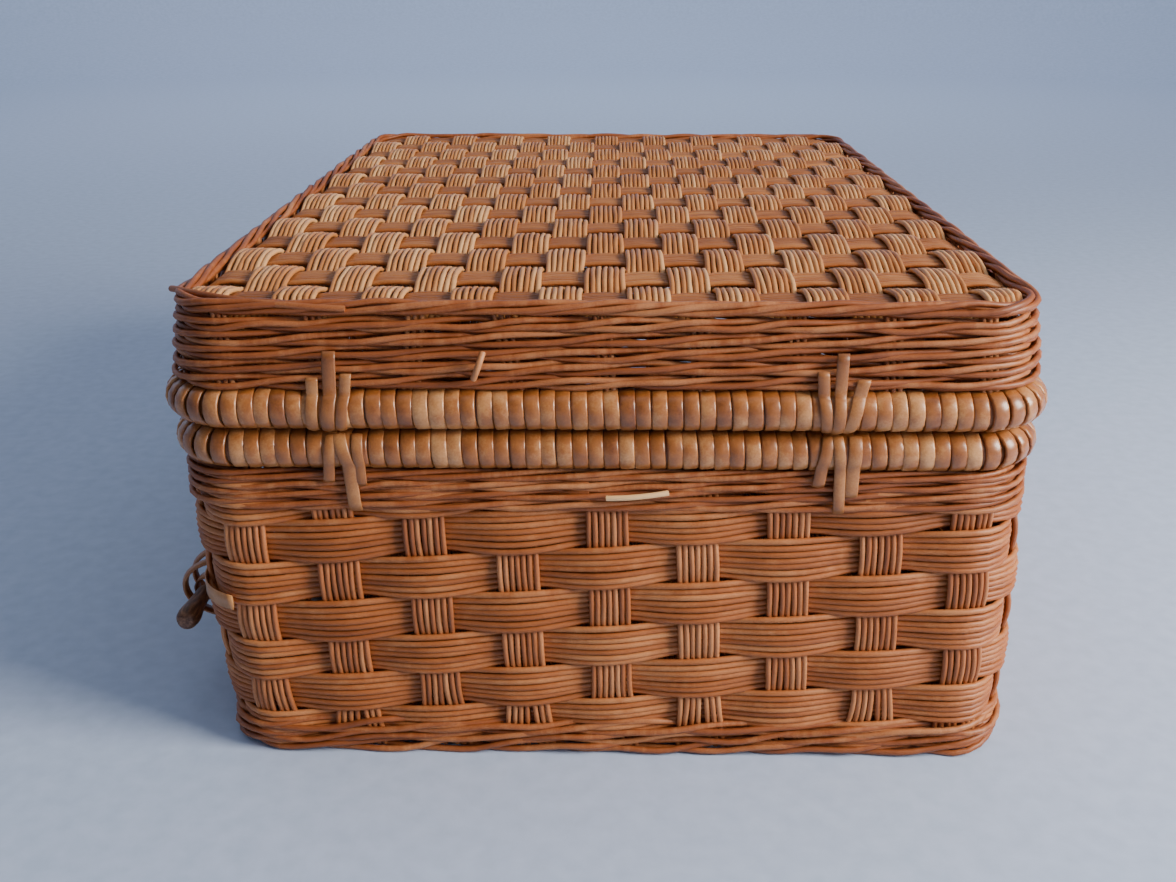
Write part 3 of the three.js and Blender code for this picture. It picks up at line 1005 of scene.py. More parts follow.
@dataclass
class TwinedBand:
    """Rows of three-strand twining: each strand passes two bundles outside and one inside."""

    bottom: float
    pitch: float
    rows: int
    radius: float
    swing: float
    lift: float
    ragged: float
    proud: float = 0.0
    lowest: float = 0.0

    def draw(self, wall: "WovenWall | LidSide", rng: np.random.Generator) -> Strands:
        """Draw the rows, each one closed line of three turns.

        Args:
            wall: the wall whose middle the rows follow.
            rng: seeded source of randomness.

        Returns:
            The strands' centre lines.
        """
        lines = Strands()
        span = 3 * STAKES.count
        for row in range(self.rows):
            t = np.arange(0, span, 1 / 6)
            phase = np.mod((t + 0.5 + row) / 3, 1)
            outside = phase < 2 / 3
            angle = np.where(outside, 1.5 * phase - 0.5, 0.5 + 3 * (phase - 2 / 3)) * np.pi
            drift = wander(t, span, self.ragged, rng, 150)
            z = self.bottom + row * self.pitch + self.lift * np.sin(angle) + drift
            z = np.maximum(z, self.lowest)
            sag = wander(t, span, self.ragged * 0.6, rng, 150)
            out = wall.middle(z) + self.proud + self.swing * np.cos(angle) + np.minimum(sag, 0.8)
            places, _ = PLAN.at(STAKES.distance(t), out, z)
            tone = 0.5 + wander(t, span, 0.12, rng, 24)
            lines.add(wall.settle(places), tone, rng.uniform(0.94, 1.04), closed=True)
        return lines


@dataclass
class LidSide:
    """Side of the lid: twined rows on small uprights."""

    bottom: float = 158.6
    top: float = 183.5
    flare: float = 3.5
    thickness: float = 6.0
    uprights_each: int = 3

    def middle(self, z: Array | float) -> Array:
        """Middle of the twining beyond the plan at a height."""
        u = np.clip((np.asarray(z, dtype=float) - self.bottom) / (self.top - self.bottom), 0, 1)
        return self.flare * (1 - u) - self.thickness / 2 - 0.2

    @staticmethod
    def settle(places: Array) -> Array:
        """Leave places on the lid as they are."""
        return places

    def uprights(self, rng: np.random.Generator) -> Strands:
        """Draw the small uprights between the rows.

        Args:
            rng: seeded source of randomness.

        Returns:
            The reeds' centre lines.
        """
        lines = Strands()
        z = np.linspace(self.bottom - 1.0, self.top + 3.5, 8)
        for number in range(STAKES.count):
            lean = rng.normal(0, 1.2)
            for reed in range(self.uprights_each):
                lane = (reed - (self.uprights_each - 1) / 2) * 2.5 + lean * (z - 170) / 12
                centre = STAKES.distances()[number]
                places, _ = PLAN.at(centre + lane, self.middle(z) - 0.9, z)
                lines.add(places, rng.uniform(0.4, 0.95), 0.95)
        return lines


@dataclass
class RopeBorder:
    """Edge border of the lid: thick strands laid round one another like a rope."""

    inset: float = 3.1
    height: float = 187.7
    core: float = 1.75
    strands: int = 4
    turns: int = 14

    def draw(self, rng: np.random.Generator) -> Strands:
        """Draw the strands.

        Args:
            rng: seeded source of randomness.

        Returns:
            Their centre lines.
        """
        lines = Strands()
        s = np.linspace(0, PLAN.length, 420, endpoint=False)
        for strand in range(self.strands):
            angle = 2 * np.pi * (self.turns * s / PLAN.length + strand / self.strands)
            angle = angle + wander(s, PLAN.length, 0.25, rng, 40)
            reach = self.core + wander(s, PLAN.length, 0.3, rng, 60)
            z = self.height + reach * np.sin(angle)
            places, _ = PLAN.at(s, -self.inset + reach * np.cos(angle), z)
            tone = 0.5 + wander(s, PLAN.length, 0.12, rng, 12)
            lines.add(places, tone, rng.uniform(0.92, 1.05), closed=True)
        return lines


@dataclass
class WovenPanel:
    """Flat plain weave of reed bands in both directions, cut to a rounded rectangle."""

    half_x: float
    half_y: float
    corner: float
    z: float
    long_pitch: float = 16.1
    cross_pitch: float = 32.0
    reeds: int = 7
    cross_reeds: int = 7
    long_step: float = 2.25
    cross_step: float = 2.3
    long_swing: float = 3.0
    cross_swing: float = 0.7
    fall: float = 3.0
    sample: float = 5.0
    low: float = -1e3

    def _reach(self, place: float, half: float, other: float) -> float:
        """Half length of a reed at a place across the panel.

        Args:
            place: the reed's place across.
            half: half size across.
            other: half size along.

        Returns:
            How far the reed reaches from the middle.
        """
        past = abs(place) - (half - self.corner)
        if past <= 0:
            return other
        return other - self.corner + math.sqrt(max(self.corner**2 - past**2, 0.0))

    def _reed(self, place: float, reach: float, swing: Array, run: Array, along_y: bool) -> Array:
        """Lay one reed.

        Args:
            place: its place across.
            reach: its half length.
            swing: height of its floats.
            run: places along it.
            along_y: True for a lengthwise reed.

        Returns:
            Its centre line.
        """
        drop = self.fall * np.clip((np.abs(run) - reach + 7) / 7, 0, 1) ** 2
        z = np.maximum(self.z + swing - drop, self.low)
        across = np.full_like(run, place)
        return np.column_stack([across, run, z] if along_y else [run, across, z])

    def lengthwise(self, rng: np.random.Generator) -> Strands:
        """Draw the lengthwise bands, with arched floats.

        Args:
            rng: seeded source of randomness.

        Returns:
            The reeds' centre lines.
        """
        lines = Strands()
        bands = int(2 * self.half_x / self.long_pitch)
        rows = self.cross_rows()
        for band in range(bands):
            centre = (band - (bands - 1) / 2) * self.long_pitch
            for reed in range(self.reeds):
                place = centre + (reed - (self.reeds - 1) / 2) * self.long_step
                reach = self._reach(place, self.half_x, self.half_y)
                run = np.arange(-reach, reach + self.sample / 2, self.sample)
                row = run / self.cross_pitch + (rows - 1) / 2
                wave = np.cos(np.pi * (row + band))
                lift = self.long_swing * np.sign(wave) * np.abs(wave) ** 0.8
                edge = 0.35 * ((reed - (self.reeds - 1) / 2) / 3) ** 2
                drift = wander(run, 900, 0.16, rng, 60)
                line = self._reed(place, reach, lift - edge + drift, run, True)
                line[:, 0] += wander(run, 900, 0.2, rng, 40)
                lines.add(line, rng.uniform(0.4, 0.76), rng.uniform(0.92, 1.02))
        return lines

    def cross_rows(self) -> int:
        """Number of crosswise bands."""
        return int(2 * self.half_y / self.cross_pitch + 0.6)

    def crosswise(self, rng: np.random.Generator) -> Strands:
        """Draw the crosswise bands.

        Args:
            rng: seeded source of randomness.

        Returns:
            The reeds' centre lines.
        """
        lines = Strands()
        rows = self.cross_rows()
        bands = int(2 * self.half_x / self.long_pitch)
        for row in range(rows):
            centre = (row - (rows - 1) / 2) * self.cross_pitch
            for reed in range(self.cross_reeds):
                place = centre + (reed - (self.cross_reeds - 1) / 2) * self.cross_step
                reach = self._reach(place, self.half_y, self.half_x)
                run = np.arange(-reach, reach + self.sample / 2, self.sample)
                band = run / self.long_pitch + (bands - 1) / 2
                lift = -self.cross_swing * np.cos(np.pi * (band + row))
                drift = wander(run, 900, 0.1, rng, 60)
                line = self._reed(place, reach, lift + drift, run, False)
                lines.add(line, rng.uniform(0.3, 0.7), 0.97)
        return lines


# ---------------------------------------------------------------- wrapped and tied work


@dataclass
class CaneTurn:
    """One turn of cane round a rod, as a closed crowned ring round Z."""

    outer: float
    inner: float
    width: float
    steps: int = 14

    def mesh(self, name: str) -> bpy.types.Mesh:
        """Build the ring.

        Args:
            name: name of the mesh.

        Returns:
            The mesh, in metres.
        """
        half, fall = self.width / 2, self.outer - self.inner
        section = [
            (-half, self.inner),
            (-half, self.outer - 0.3 * fall),
            (-half * 0.8, self.outer - 0.06 * fall),
            (0.0, self.outer),
            (half * 0.8, self.outer - 0.06 * fall),
            (half, self.outer - 0.3 * fall),
            (half, self.inner),
        ]
        size = len(section)
        places, faces = [], []
        for i in range(self.steps):
            angle = 2 * math.pi * i / self.steps
            for z, radius in section:
                x, y = radius * math.cos(angle), radius * math.sin(angle)
                places.append((x * MM, y * MM, z * MM))
            j = (i + 1) % self.steps
            for k in range(size):
                m = (k + 1) % size
                faces.append([i * size + k, j * size + k, j * size + m, i * size + m])
        mesh = bpy.data.meshes.new(name)
        mesh.from_pydata(places, [], faces)
        return mesh


@dataclass
class WrappedRim:
    """Rattan pole bent round the plan and wrapped with turns of glossy peeled cane."""

    name: str
    body: str
    inset: float
    z: float
    radius: float = 7.9
    turn_width: float = 5.75
    slant: float = 0.07
    hasp_y: float = 164.8
    hasp_gap: float = 0.0  # half length left bare on the closure side for each hasp's loop

    def build(self, shop: Workshop, rng: np.random.Generator) -> None:
        """Make the pole and its wrapping.

        Args:
            shop: the workshop.
            rng: seeded source of randomness.
        """
        line = Plan(PLAN.half_x - self.inset, PLAN.half_y - self.inset, PLAN.corner - self.inset)
        count = round(line.length / self.turn_width)
        s = (np.arange(count) + 0.5) * line.length / count
        places, outward = line.at(s, 0.0, self.z)
        ahead, _ = line.at(s + 0.5, 0.0, self.z)
        behind, _ = line.at(s - 0.5, 0.0, self.z)
        along = ahead - behind
        along /= np.linalg.norm(along, axis=1, keepdims=True)
        lean = self.slant + rng.normal(0, 0.02, count)
        along = along + np.array([0.0, 0.0, 1.0]) * lean[:, None]
        along += outward * rng.normal(0, 0.03, count)[:, None]
        tones = np.clip(rng.normal(0.5, 0.1, count), 0.2, 0.8)
        girths = rng.uniform(0.975, 1.005, count)
        by_hasp = np.abs(np.abs(places[:, 1]) - self.hasp_y) < self.hasp_gap
        keep = ~(by_hasp & (places[:, 0] < 0))
        path = TurnPath(places[keep], along[keep], outward[keep], tones[keep], girths[keep])
        turn = CaneTurn(self.radius, self.radius - 1.3, self.turn_width * 0.985)
        wrap = shop.wound(self.name + "_wrap_turns", path, turn.mesh("turn"), Finish.WRAP)
        shop.seat(wrap, self.body, [self.name + "_wrap"], "peeled_cane")
        pole = Strands()
        ring, _ = line.at(np.linspace(0, line.length, 150, endpoint=False), 0.0, self.z)
        pole.add(ring, 0.4, closed=True)
        core = shop.round(self.name + "_pole", pole, self.radius - 1.3, Finish.POLE, 14)
        shop.seat(core, self.body, [self.name + "_core"], "rattan_pole")


class Side(Enum):
    """The four sides: outward heading in degrees."""

    HINGE = 0.0
    FAR = 90.0
    FRONT = 180.0
    NEAR = 270.0

    @property
    def half(self) -> float:
        """Distance of the side from the middle."""
        return PLAN.half_x if self in (Side.HINGE, Side.FRONT) else PLAN.half_y

    def place(self, line: Array, along: float) -> tuple[Array, Array]:
        """Set an outward and height line on the side.

        Args:
            line: rows of distance from the middle and height.
            along: place along the side, on the world's X or Y axis.

        Returns:
            The line in the frame, and the direction of its width.
        """
        angle = math.radians(self.value)
        out = np.array([math.cos(angle), math.sin(angle), 0.0])
        wide = np.abs(np.array([math.sin(angle), math.cos(angle), 0.0]))
        places = line[:, :1] * out + line[:, 1:] * np.array([0.0, 0.0, 1.0])
        return places + along * wide, wide


def arc(x: float, z: float, radius: float, start: float, end: float, steps: int) -> Array:
    """Points of an arc.

    Args:
        x: centre, outwards.
        z: centre height.
        radius: radius.
        start: first angle in degrees, 0 outwards and 90 up.
        end: last angle.
        steps: number of divisions.

    Returns:
        Rows of distance and height.
    """
    angle = np.radians(np.linspace(start, end, steps + 1))
    return np.column_stack([x + radius * np.cos(angle), z + radius * np.sin(angle)])


def turned_out(line: Array, wide: Array, centre: Array) -> Array:
    """Give the width direction that makes a strip's outer face look away from a point.

    Args:
        line: the strip's points.
        wide: direction of its width.
        centre: the point.

    Returns:
        The direction, reversed if needed.
    """
    ahead = line[1] - line[0]
    out = np.cross(ahead, wide)
    return wide if np.dot(out, line[0] - centre) > 0 else -wide


@dataclass
class Lashing:
    """Three cane strips that tie a rim to its wall; the middle one runs furthest."""

    side: Side
    along: float
    part: str
    rim_radius: float = 7.9
    width: float = 4.8
    lane_pitch: float = 5.4
    thickness: float = 0.9
    tuck: float = 58.0
    long_run: float = 15.0
    short_run: float = 6.0
    sunk: float = 0.55  # depth in the wrapping on the hinge side, where the rims roll together

    def draw(
        self,
        strips: Strips,
        rim_inset: float,
        rim_z: float,
        wall: float,
        rng: np.random.Generator,
    ) -> None:
        """Draw the three strips.

        Args:
            strips: where they are gathered.
            rim_inset: the rim's inset from the plan.
            rim_z: its height.
            wall: the wall's outer face beyond the plan, by the rim.
            rng: seeded source of randomness.
        """
        way = 1 if self.part == "lid" else -1
        rim_x = self.side.half - rim_inset
        face = self.side.half + wall + 0.3
        rolls = self.side is Side.HINGE
        radius = self.rim_radius - self.sunk if rolls else self.rim_radius + 0.1
        leave = way * math.degrees(math.acos(min(1.0, (face - rim_x) / radius)))
        for lane in (-1, 0, 1):
            run = self.long_run if lane == 0 else self.short_run * rng.uniform(0.5, 1.4)
            lift = 0.25 if lane == 0 and not rolls else 0.0
            curve = arc(rim_x, rim_z, radius + lift, -way * self.tuck, leave, 12)
            tip = rim_z + way * (self.rim_radius + run)
            down = np.linspace(curve[-1], [face + 0.1, tip], 6)[1:]
            line = np.vstack([curve, down])
            line[-1, 0] -= 0.5
            places, wide = self.side.place(line, self.along + lane * self.lane_pitch)
            slip = rng.normal(0, (0.35, 1.1))
            places = places + wide * (slip[0] + slip[1] * np.linspace(-1, 1, len(places)))[:, None]
            middle, _ = self.side.place(np.array([[rim_x, rim_z]]), self.along)
            wide = turned_out(places, wide, middle[0])
            tone = rng.uniform(0.35, 0.65)
            crown = 0.12 if rolls else 0.45
            width = self.width * rng.uniform(0.86, 1.04)
            strips.add(places, wide, width, self.thickness, tone, crown=crown)


@dataclass
class Lid:
    """The lid: wrapped rim, twined side, edge border and woven panel."""

    rim_z: float = 150.4
    rim_inset: float = 1.0
    side: LidSide = field(default_factory=LidSide)

    def build(self, shop: Workshop, rng: np.random.Generator) -> None:
        """Make every piece of the lid but its lashings.

        Args:
            shop: the workshop.
            rng: seeded source of randomness.
        """
        WrappedRim("lid_rim", "lid", self.rim_inset, self.rim_z).build(shop, rng)
        rows = TwinedBand(
            bottom=161.2,
            pitch=5.1,
            rows=5,
            radius=1.27,
            swing=2.4,
            lift=1.7,
            ragged=0.5,
        )
        twine = shop.round("lid_side_twining", rows.draw(self.side, rng), rows.radius, Finish.TWINE)
        shop.seat(twine, "lid", ["lid_side"], "reed_twined")
        small = shop.round("lid_side_uprights", self.side.uprights(rng), 1.1, Finish.TWINE)
        shop.seat(small, "lid", [], "reed_twined")
        rope = shop.round("lid_edge_rope", RopeBorder().draw(rng), 1.3, Finish.TWINE)
        shop.seat(rope, "lid", ["lid_edge_border"], "reed_twined")
        panel = WovenPanel(154.0, 217.5, 18.0, 186.7)
        # Painted light: these reeds take the paler finish that stands in for the light falling on
        # the lid top.
        long = shop.round("lid_panel_long_reeds", panel.lengthwise(rng), 1.14, Finish.LID_LONG)
        shop.seat(long, "lid", ["lid_panel"], "reed_lid")
        cross = shop.round("lid_panel_cross_reeds", panel.crosswise(rng), 1.1, Finish.LID_CROSS)
        shop.seat(cross, "lid", [], "reed_lid")


@dataclass
class Base:
    """The base: floor, foot border, woven wall, twined band and wrapped rim."""

    rim_z: float = 134.1
    rim_inset: float = 3.0
    wall: WovenWall = field(default_factory=WovenWall)

    def build(self, shop: Workshop, rng: np.random.Generator) -> None:
        """Make every piece of the base but its lashings.

        Args:
            shop: the workshop.
            rng: seeded source of randomness.
        """
        wall = self.wall
        bands = shop.round("wall_weaver_bands", wall.weavers(rng), wall.reed_radius, Finish.WEAVER)
        shop.seat(bands, "base", ["base_wall"], "reed_wall")
        stakes = shop.round("wall_stakes", wall.uprights(rng), 1.19, Finish.STAKE)
        shop.seat(stakes, "base", [], "reed_wall")
        under = TwinedBand(
            bottom=112.6,
            pitch=3.95,
            rows=4,
            radius=1.2,
            swing=2.5,
            lift=1.45,
            ragged=0.35,
            proud=0.5,
        )
        twine = shop.round("waling_twining", under.draw(wall, rng), under.radius, Finish.TWINE)
        shop.seat(twine, "base", ["base_waling"], "reed_twined")
        foot = TwinedBand(
            bottom=3.3,
            pitch=4.5,
            rows=3,
            radius=1.3,
            swing=2.8,
            lift=2.3,
            ragged=0.9,
            proud=0.5,
            lowest=1.4,
        )
        border = shop.round("foot_twining", foot.draw(wall, rng), foot.radius, Finish.TWINE)
        shop.seat(border, "base", ["base_foot_border"], "reed_twined")
        WrappedRim("base_rim", "base", self.rim_inset, self.rim_z, hasp_gap=6.2).build(shop, rng)
        panel = WovenPanel(151.0, 215.0, 18.0, 3.6, long_swing=1.3, fall=0.0, sample=8.0, low=1.15)
        lengthwise, crosswise = panel.lengthwise(rng), panel.crosswise(rng)
        for reeds in (lengthwise, crosswise):
            reeds.points = [wall.settle(line) for line in reeds.points]
        long = shop.round("floor_long_reeds", lengthwise, 1.1, Finish.STAKE, 5)
        shop.seat(long, "base", ["base_floor"], "reed_wall")
        cross = shop.round("floor_cross_reeds", crosswise, 1.1, Finish.STAKE, 5)
        shop.seat(cross, "base", [], "reed_wall")


@dataclass
class LooseEnds:
    """Cut ends of strands that stand a little proud of the twining."""

    lid_stub: tuple = ((-43.2, -227.8, 173.0), (-44.6, -230.6, 169.0), (-46.6, -229.6, 163.8))
    lid_corner: tuple = (
        (-92.0, -223.0, 187.6),
        (-128.0, -219.6, 189.4),
        (-150.0, -209.5, 189.8),
        (-161.5, -199.5, 188.6),
    )
    wall_end: tuple = ((1.0, -227.9, 116.9), (12.0, -228.9, 117.9), (24.0, -228.0, 119.3))

    def build(self, shop: Workshop) -> None:
        """Make the ends of the lid and of the base.

        Args:
            shop: the workshop.
        """
        lid, wall = Strands(), Strands()
        lid.add(self._smooth(self.lid_stub), 0.85)
        lid.add(self._smooth(self.lid_corner), 0.6)
        wall.add(self._smooth(self.wall_end), 1.2)
        ends = shop.round("lid_loose_ends", lid, 1.25, Finish.TWINE, 8)
        shop.seat(ends, "lid", [], "reed_twined")
        # This end takes the same paler reed finish, with light from above painted into its colour.
        end = shop.round("wall_loose_end", wall, 1.1, Finish.LID_LONG, 8)
        shop.seat(end, "base", [], "reed_twined")

    @staticmethod
    def _smooth(marks: tuple) -> Array:
        """Pass a smooth line through a few marks."""
        points = np.array(marks, dtype=float)
        u = np.linspace(0, len(points) - 1, 14)
        order = len(points) - 1
        fits = [np.polyfit(np.arange(len(points)), points[:, k], order) for k in range(3)]
        return np.column_stack([np.polyval(fit, u) for fit in fits])


@dataclass
class Lashings:
    """All the lashings of both rims."""

    short_base: tuple[float, ...] = (-95.0, 86.0)
    short_lid: tuple[float, ...] = (-100.0, 85.0)
    hinge_base: tuple[float, ...] = (-165.0, 0.0, 165.0)
    hinge_lid: tuple[float, ...] = (-139.0, 26.0, 139.0)
    front: tuple[float, ...] = (-112.0, 0.0, 112.0)

    def build(self, shop: Workshop, base: Base, lid: Lid, rng: np.random.Generator) -> None:
        """Make one piece of every lashing.

        Args:
            shop: the workshop.
            base: the base.
            lid: the lid.
            rng: seeded source of randomness.
        """
        places = {
            (Side.NEAR, "base"): self.short_base,
            (Side.FAR, "base"): self.short_base,
            (Side.HINGE, "base"): self.hinge_base,
            (Side.FRONT, "base"): self.front,
            (Side.NEAR, "lid"): self.short_lid,
            (Side.FAR, "lid"): self.short_lid,
            (Side.HINGE, "lid"): self.hinge_lid,
            (Side.FRONT, "lid"): self.front,
        }
        for (side, part), spots in places.items():
            whole = lid if part == "lid" else base
            wall = lid.side.flare if part == "lid" else base.wall.flare + base.wall.bulge / 2
            for number, along in enumerate(spots, 1):
                strips = Strips()
                tie = Lashing(side, along, part)
                tie.draw(strips, whole.rim_inset, whole.rim_z, wall, rng)
                node = f"{part}_lashing_{side.name.lower()}_{number}"
                piece = shop.flat(node + "_cane", strips, Finish.TIE)
                shop.seat(piece, part, [node], "peeled_cane")


@dataclass
class HingeLoops:
    """Two loops of cane, each of three turns, round both rims."""

    spacing: float = 240.0
    radius: float = 8.3
    thickness: float = 1.4
    turn_width: float = 6.5

    def build(self, shop: Workshop, base: Base, lid: Lid, rng: np.random.Generator) -> None:
        """Make the two loops.

        Args:
            shop: the workshop.
            base: the base.
            lid: the lid.
            rng: seeded source of randomness.
        """
        low = np.array([PLAN.half_x - base.rim_inset, base.rim_z])
        high = np.array([PLAN.half_x - lid.rim_inset, lid.rim_z])
        tilt = math.degrees(math.atan2(high[1] - low[1], high[0] - low[0]))
        upper = arc(high[0], high[1], self.radius, tilt - 90, tilt + 90, 12)
        lower = arc(low[0], low[1], self.radius, tilt + 90, tilt + 270, 12)
        line = np.vstack([upper, lower])
        for number, along in enumerate((-self.spacing / 2, self.spacing / 2), 1):
            strips = Strips()
            for lane in (-1, 0, 1):
                places, wide = Side.HINGE.place(line, along + lane * self.turn_width)
                middle, _ = Side.HINGE.place(np.array([(low + high) / 2]), along)
                wide = turned_out(places, wide, middle[0])
                tone = rng.uniform(0.35, 0.7)
                strips.add(places, wide, self.turn_width - 0.1, self.thickness, tone, closed=True)
            piece = shop.flat(f"hinge_loop_{number}_cane", strips, Finish.TIE)
            shop.seat(piece, "hinge_loops", [f"hinge_loop_{number}"], "peeled_cane")


@dataclass
class Closures:
    """Two closures on the front: cane hasp, two staples, anchoring strip and wooden peg."""

    hasp_y: float = 164.8
    hasp_width: float = 6.6
    peg_out: float = 174.74
    peg_z: float = 45.0
    eye_radius: float = 5.4
    staple_z: float = 48.0
    staple_height: float = 30.0
    tie_z: float = 70.0
    tie_end: float = 176.8  # along the front, just past the outer staple
    tie_turn: float = 70.0  # degrees of the corner that the strip covers
    staple_reach: float = 21.5
    staple_step: float = 6.5
    peg_length: float = 29.0
    head: float = 4.8
    tip: float = 3.2

    def hasp(self, lid: Lid, along: float, rng: np.random.Generator) -> Strips:
        """Draw one hasp: round the lid's rim, down, and round the peg.

        Args:
            lid: the lid.
            along: its place along the front.
            rng: seeded source of randomness.

        Returns:
            The strip.
        """
        rim_x = PLAN.half_x - lid.rim_inset
        top = arc(rim_x, lid.rim_z, 8.3, 235, 0, 20)
        down = np.linspace(top[-1], [167.35, self.peg_z + 14], 8)[1:]
        eye = arc(self.peg_out, self.peg_z, self.eye_radius, 172, 172 + 345, 24)
        line = np.vstack([top, down, eye])
        places, wide = Side.FRONT.place(line, along)
        middle, _ = Side.FRONT.place(np.array([[rim_x, lid.rim_z]]), along)
        wide = turned_out(places, wide, middle[0])
        strips = Strips()
        strips.add(places, wide, self.hasp_width, 1.3, rng.uniform(0.4, 0.6))
        return strips

    def staple(self, wall: WovenWall, along: float, rng: np.random.Generator) -> Strips:
        """Draw one staple.

        Args:
            wall: the base wall.
            along: its place along the front.
            rng: seeded source of randomness.

        Returns:
            The strip.
        """
        face = PLAN.half_x + float(wall.offset(self.staple_z))
        height, reach = self.staple_height, self.staple_reach
        return bow(Side.FRONT, along, face, self.staple_z, height, reach, rng)

    def tie(self, wall: WovenWall, end: int, rng: np.random.Generator) -> Strips:
        """Draw the anchoring strip of one closure, round its corner.

        Args:
            wall: the base wall.
            end: -1 for the near end, 1 for the far one.
            rng: seeded source of randomness.

        Returns:
            The strip.
        """
        turn = PLAN.corner * math.pi / 2
        corner = PLAN.length - (PLAN.half_x - PLAN.corner)
        start = corner - turn - (PLAN.half_y - PLAN.corner - self.tie_end)
        s = np.linspace(start, corner - turn + turn * self.tie_turn / 90, 22)
        if end > 0:
            s = PLAN.length / 2 + (PLAN.length - s)
        share = np.linspace(0, 1, len(s))
        out = 3.5 + 1.5 * share**6 - 5.0 * (1 - share) ** 12
        places, _ = PLAN.at(s, out, self.tie_z)
        places[:, 2] += 1.2 * share**4
        strips = Strips()
        wide = np.array([0.0, 0.0, 1.0 if end > 0 else -1.0])
        strips.add(wall.settle(places), wide, 6.2, 1.0, 0.8)
        return strips

    def peg(self, end: int) -> bpy.types.Mesh:
        """Turn one peg, its head towards the hamper's end.

        Args:
            end: -1 for the near end, 1 for the far one.

        Returns:
            The mesh.
        """
        profile = [
            (0.0, 0.0),
            (self.head * 0.42, 0.12),
            (self.head * 0.72, 0.7),
            (self.head * 0.93, 2.4),
            (self.head, 5.2),
            (self.head * 0.98, 8.0),
            (self.head * 0.88, 11.5),
            (self.tip + 0.45, 16.5),
            (self.tip + 0.15, 22.0),
            (self.tip, self.peg_length - 1.6),
            (self.tip * 0.8, self.peg_length - 0.4),
            (self.tip * 0.4, self.peg_length),
            (0.0, self.peg_length),
        ]
        steps = 28
        start = self.hasp_y + 32.75
        places, faces = [], []
        for radius, run in profile:
            for i in range(steps if radius else 1):
                angle = 2 * math.pi * i / steps
                worn = 1 + 0.02 * math.sin(3 * angle + run * 0.4)
                x = -self.peg_out + radius * worn * math.cos(angle)
                z = self.peg_z + radius * worn * math.sin(angle)
                places.append((x * MM, end * (start - run) * MM, z * MM))
        first = 1
        for i in range(steps):
            faces.append([0, first + (i + 1) % steps, first + i])
        for ring in range(len(profile) - 3):
            a, b = first + ring * steps, first + (ring + 1) * steps
            for i in range(steps):
                j = (i + 1) % steps
                faces.append([a + i, a + j, b + j, b + i])
        last, centre = first + (len(profile) - 3) * steps, len(places) - 1
        for i in range(steps):
            faces.append([centre, last + i, last + (i + 1) % steps])
        mesh = bpy.data.meshes.new("peg")
        mesh.from_pydata(places, [], faces)
        mesh.polygons.foreach_set("use_smooth", [True] * len(faces))
        mesh.validate()
        point_outwards(mesh)
        mesh.materials.append(Finishes.of(Finish.PEG))
        return mesh

    def build(self, shop: Workshop, base: Base, lid: Lid, rng: np.random.Generator) -> None:
        """Make both closures.

        Args:
            shop: the workshop.
            base: the base.
            lid: the lid.
            rng: seeded source of randomness.
        """
        for label, end in (("near", -1), ("far", 1)):
            along = end * self.hasp_y
            hasp = shop.flat(f"hasp_{label}_cane", self.hasp(lid, along, rng), Finish.TIE)
            shop.seat(hasp, f"hasp_{label}", [f"hasp_{label}"], "peeled_cane")
            for place, way in (("outer", 1), ("inner", -1)):
                spot = along + end * way * self.staple_step
                strips = self.staple(base.wall, spot, rng)
                staple = shop.flat(f"staple_{label}_{place}_cane", strips, Finish.TIE)
                shop.seat(staple, "base", [f"staple_{label}_{place}"], "peeled_cane")
            tie = shop.flat(f"closure_tie_{label}_cane", self.tie(base.wall, end, rng), Finish.TIE)
            shop.seat(tie, "base", [f"closure_tie_{label}"], "peeled_cane")
            peg = bpy.data.objects.new(f"peg_{label}_wood", self.peg(end))
            bpy.context.scene.collection.objects.link(peg)
            shop.seat(peg, f"peg_{label}", [f"peg_{label}"], "peg_wood")


BOW_WIDTH = 4.8  # mm, cane of the staples and of the handle's eyes
BOW_THICKNESS = 2.0


def bow(
    side: Side,
    along: float,
    face: float,
    z: float,
    height: float,
    reach: float,
    rng: np.random.Generator,
) -> Strips:
    """Draw a bow of cane that stands out of a wall with its ends pushed in.

    Args:
        side: the side of the hamper.
        along: place along the side.
        face: the wall's face from the middle.
        z: middle height.
        height: height of the bow.
        reach: how far it stands out.
        rng: seeded source of randomness.

    Returns:
        The strip.
    """
    angle = np.radians(np.linspace(-90, 90, 22))
    curve = np.column_stack(
        [
            face + (reach - BOW_THICKNESS) * np.cos(angle),
            z + (height / 2 - BOW_THICKNESS) * np.sin(angle),
        ]
    )
    low = np.array([[face - 7.0, curve[0, 1]]])
    high = np.array([[face - 7.0, curve[-1, 1]]])
    places, wide = side.place(np.vstack([low, curve, high]), along)
    middle, _ = side.place(np.array([[face, z]]), along)
    wide = turned_out(places[10:], wide, middle[0])
    strips = Strips()
    strips.add(places, wide, BOW_WIDTH, BOW_THICKNESS, rng.uniform(0.35, 0.6), crown=0.4)
    return strips


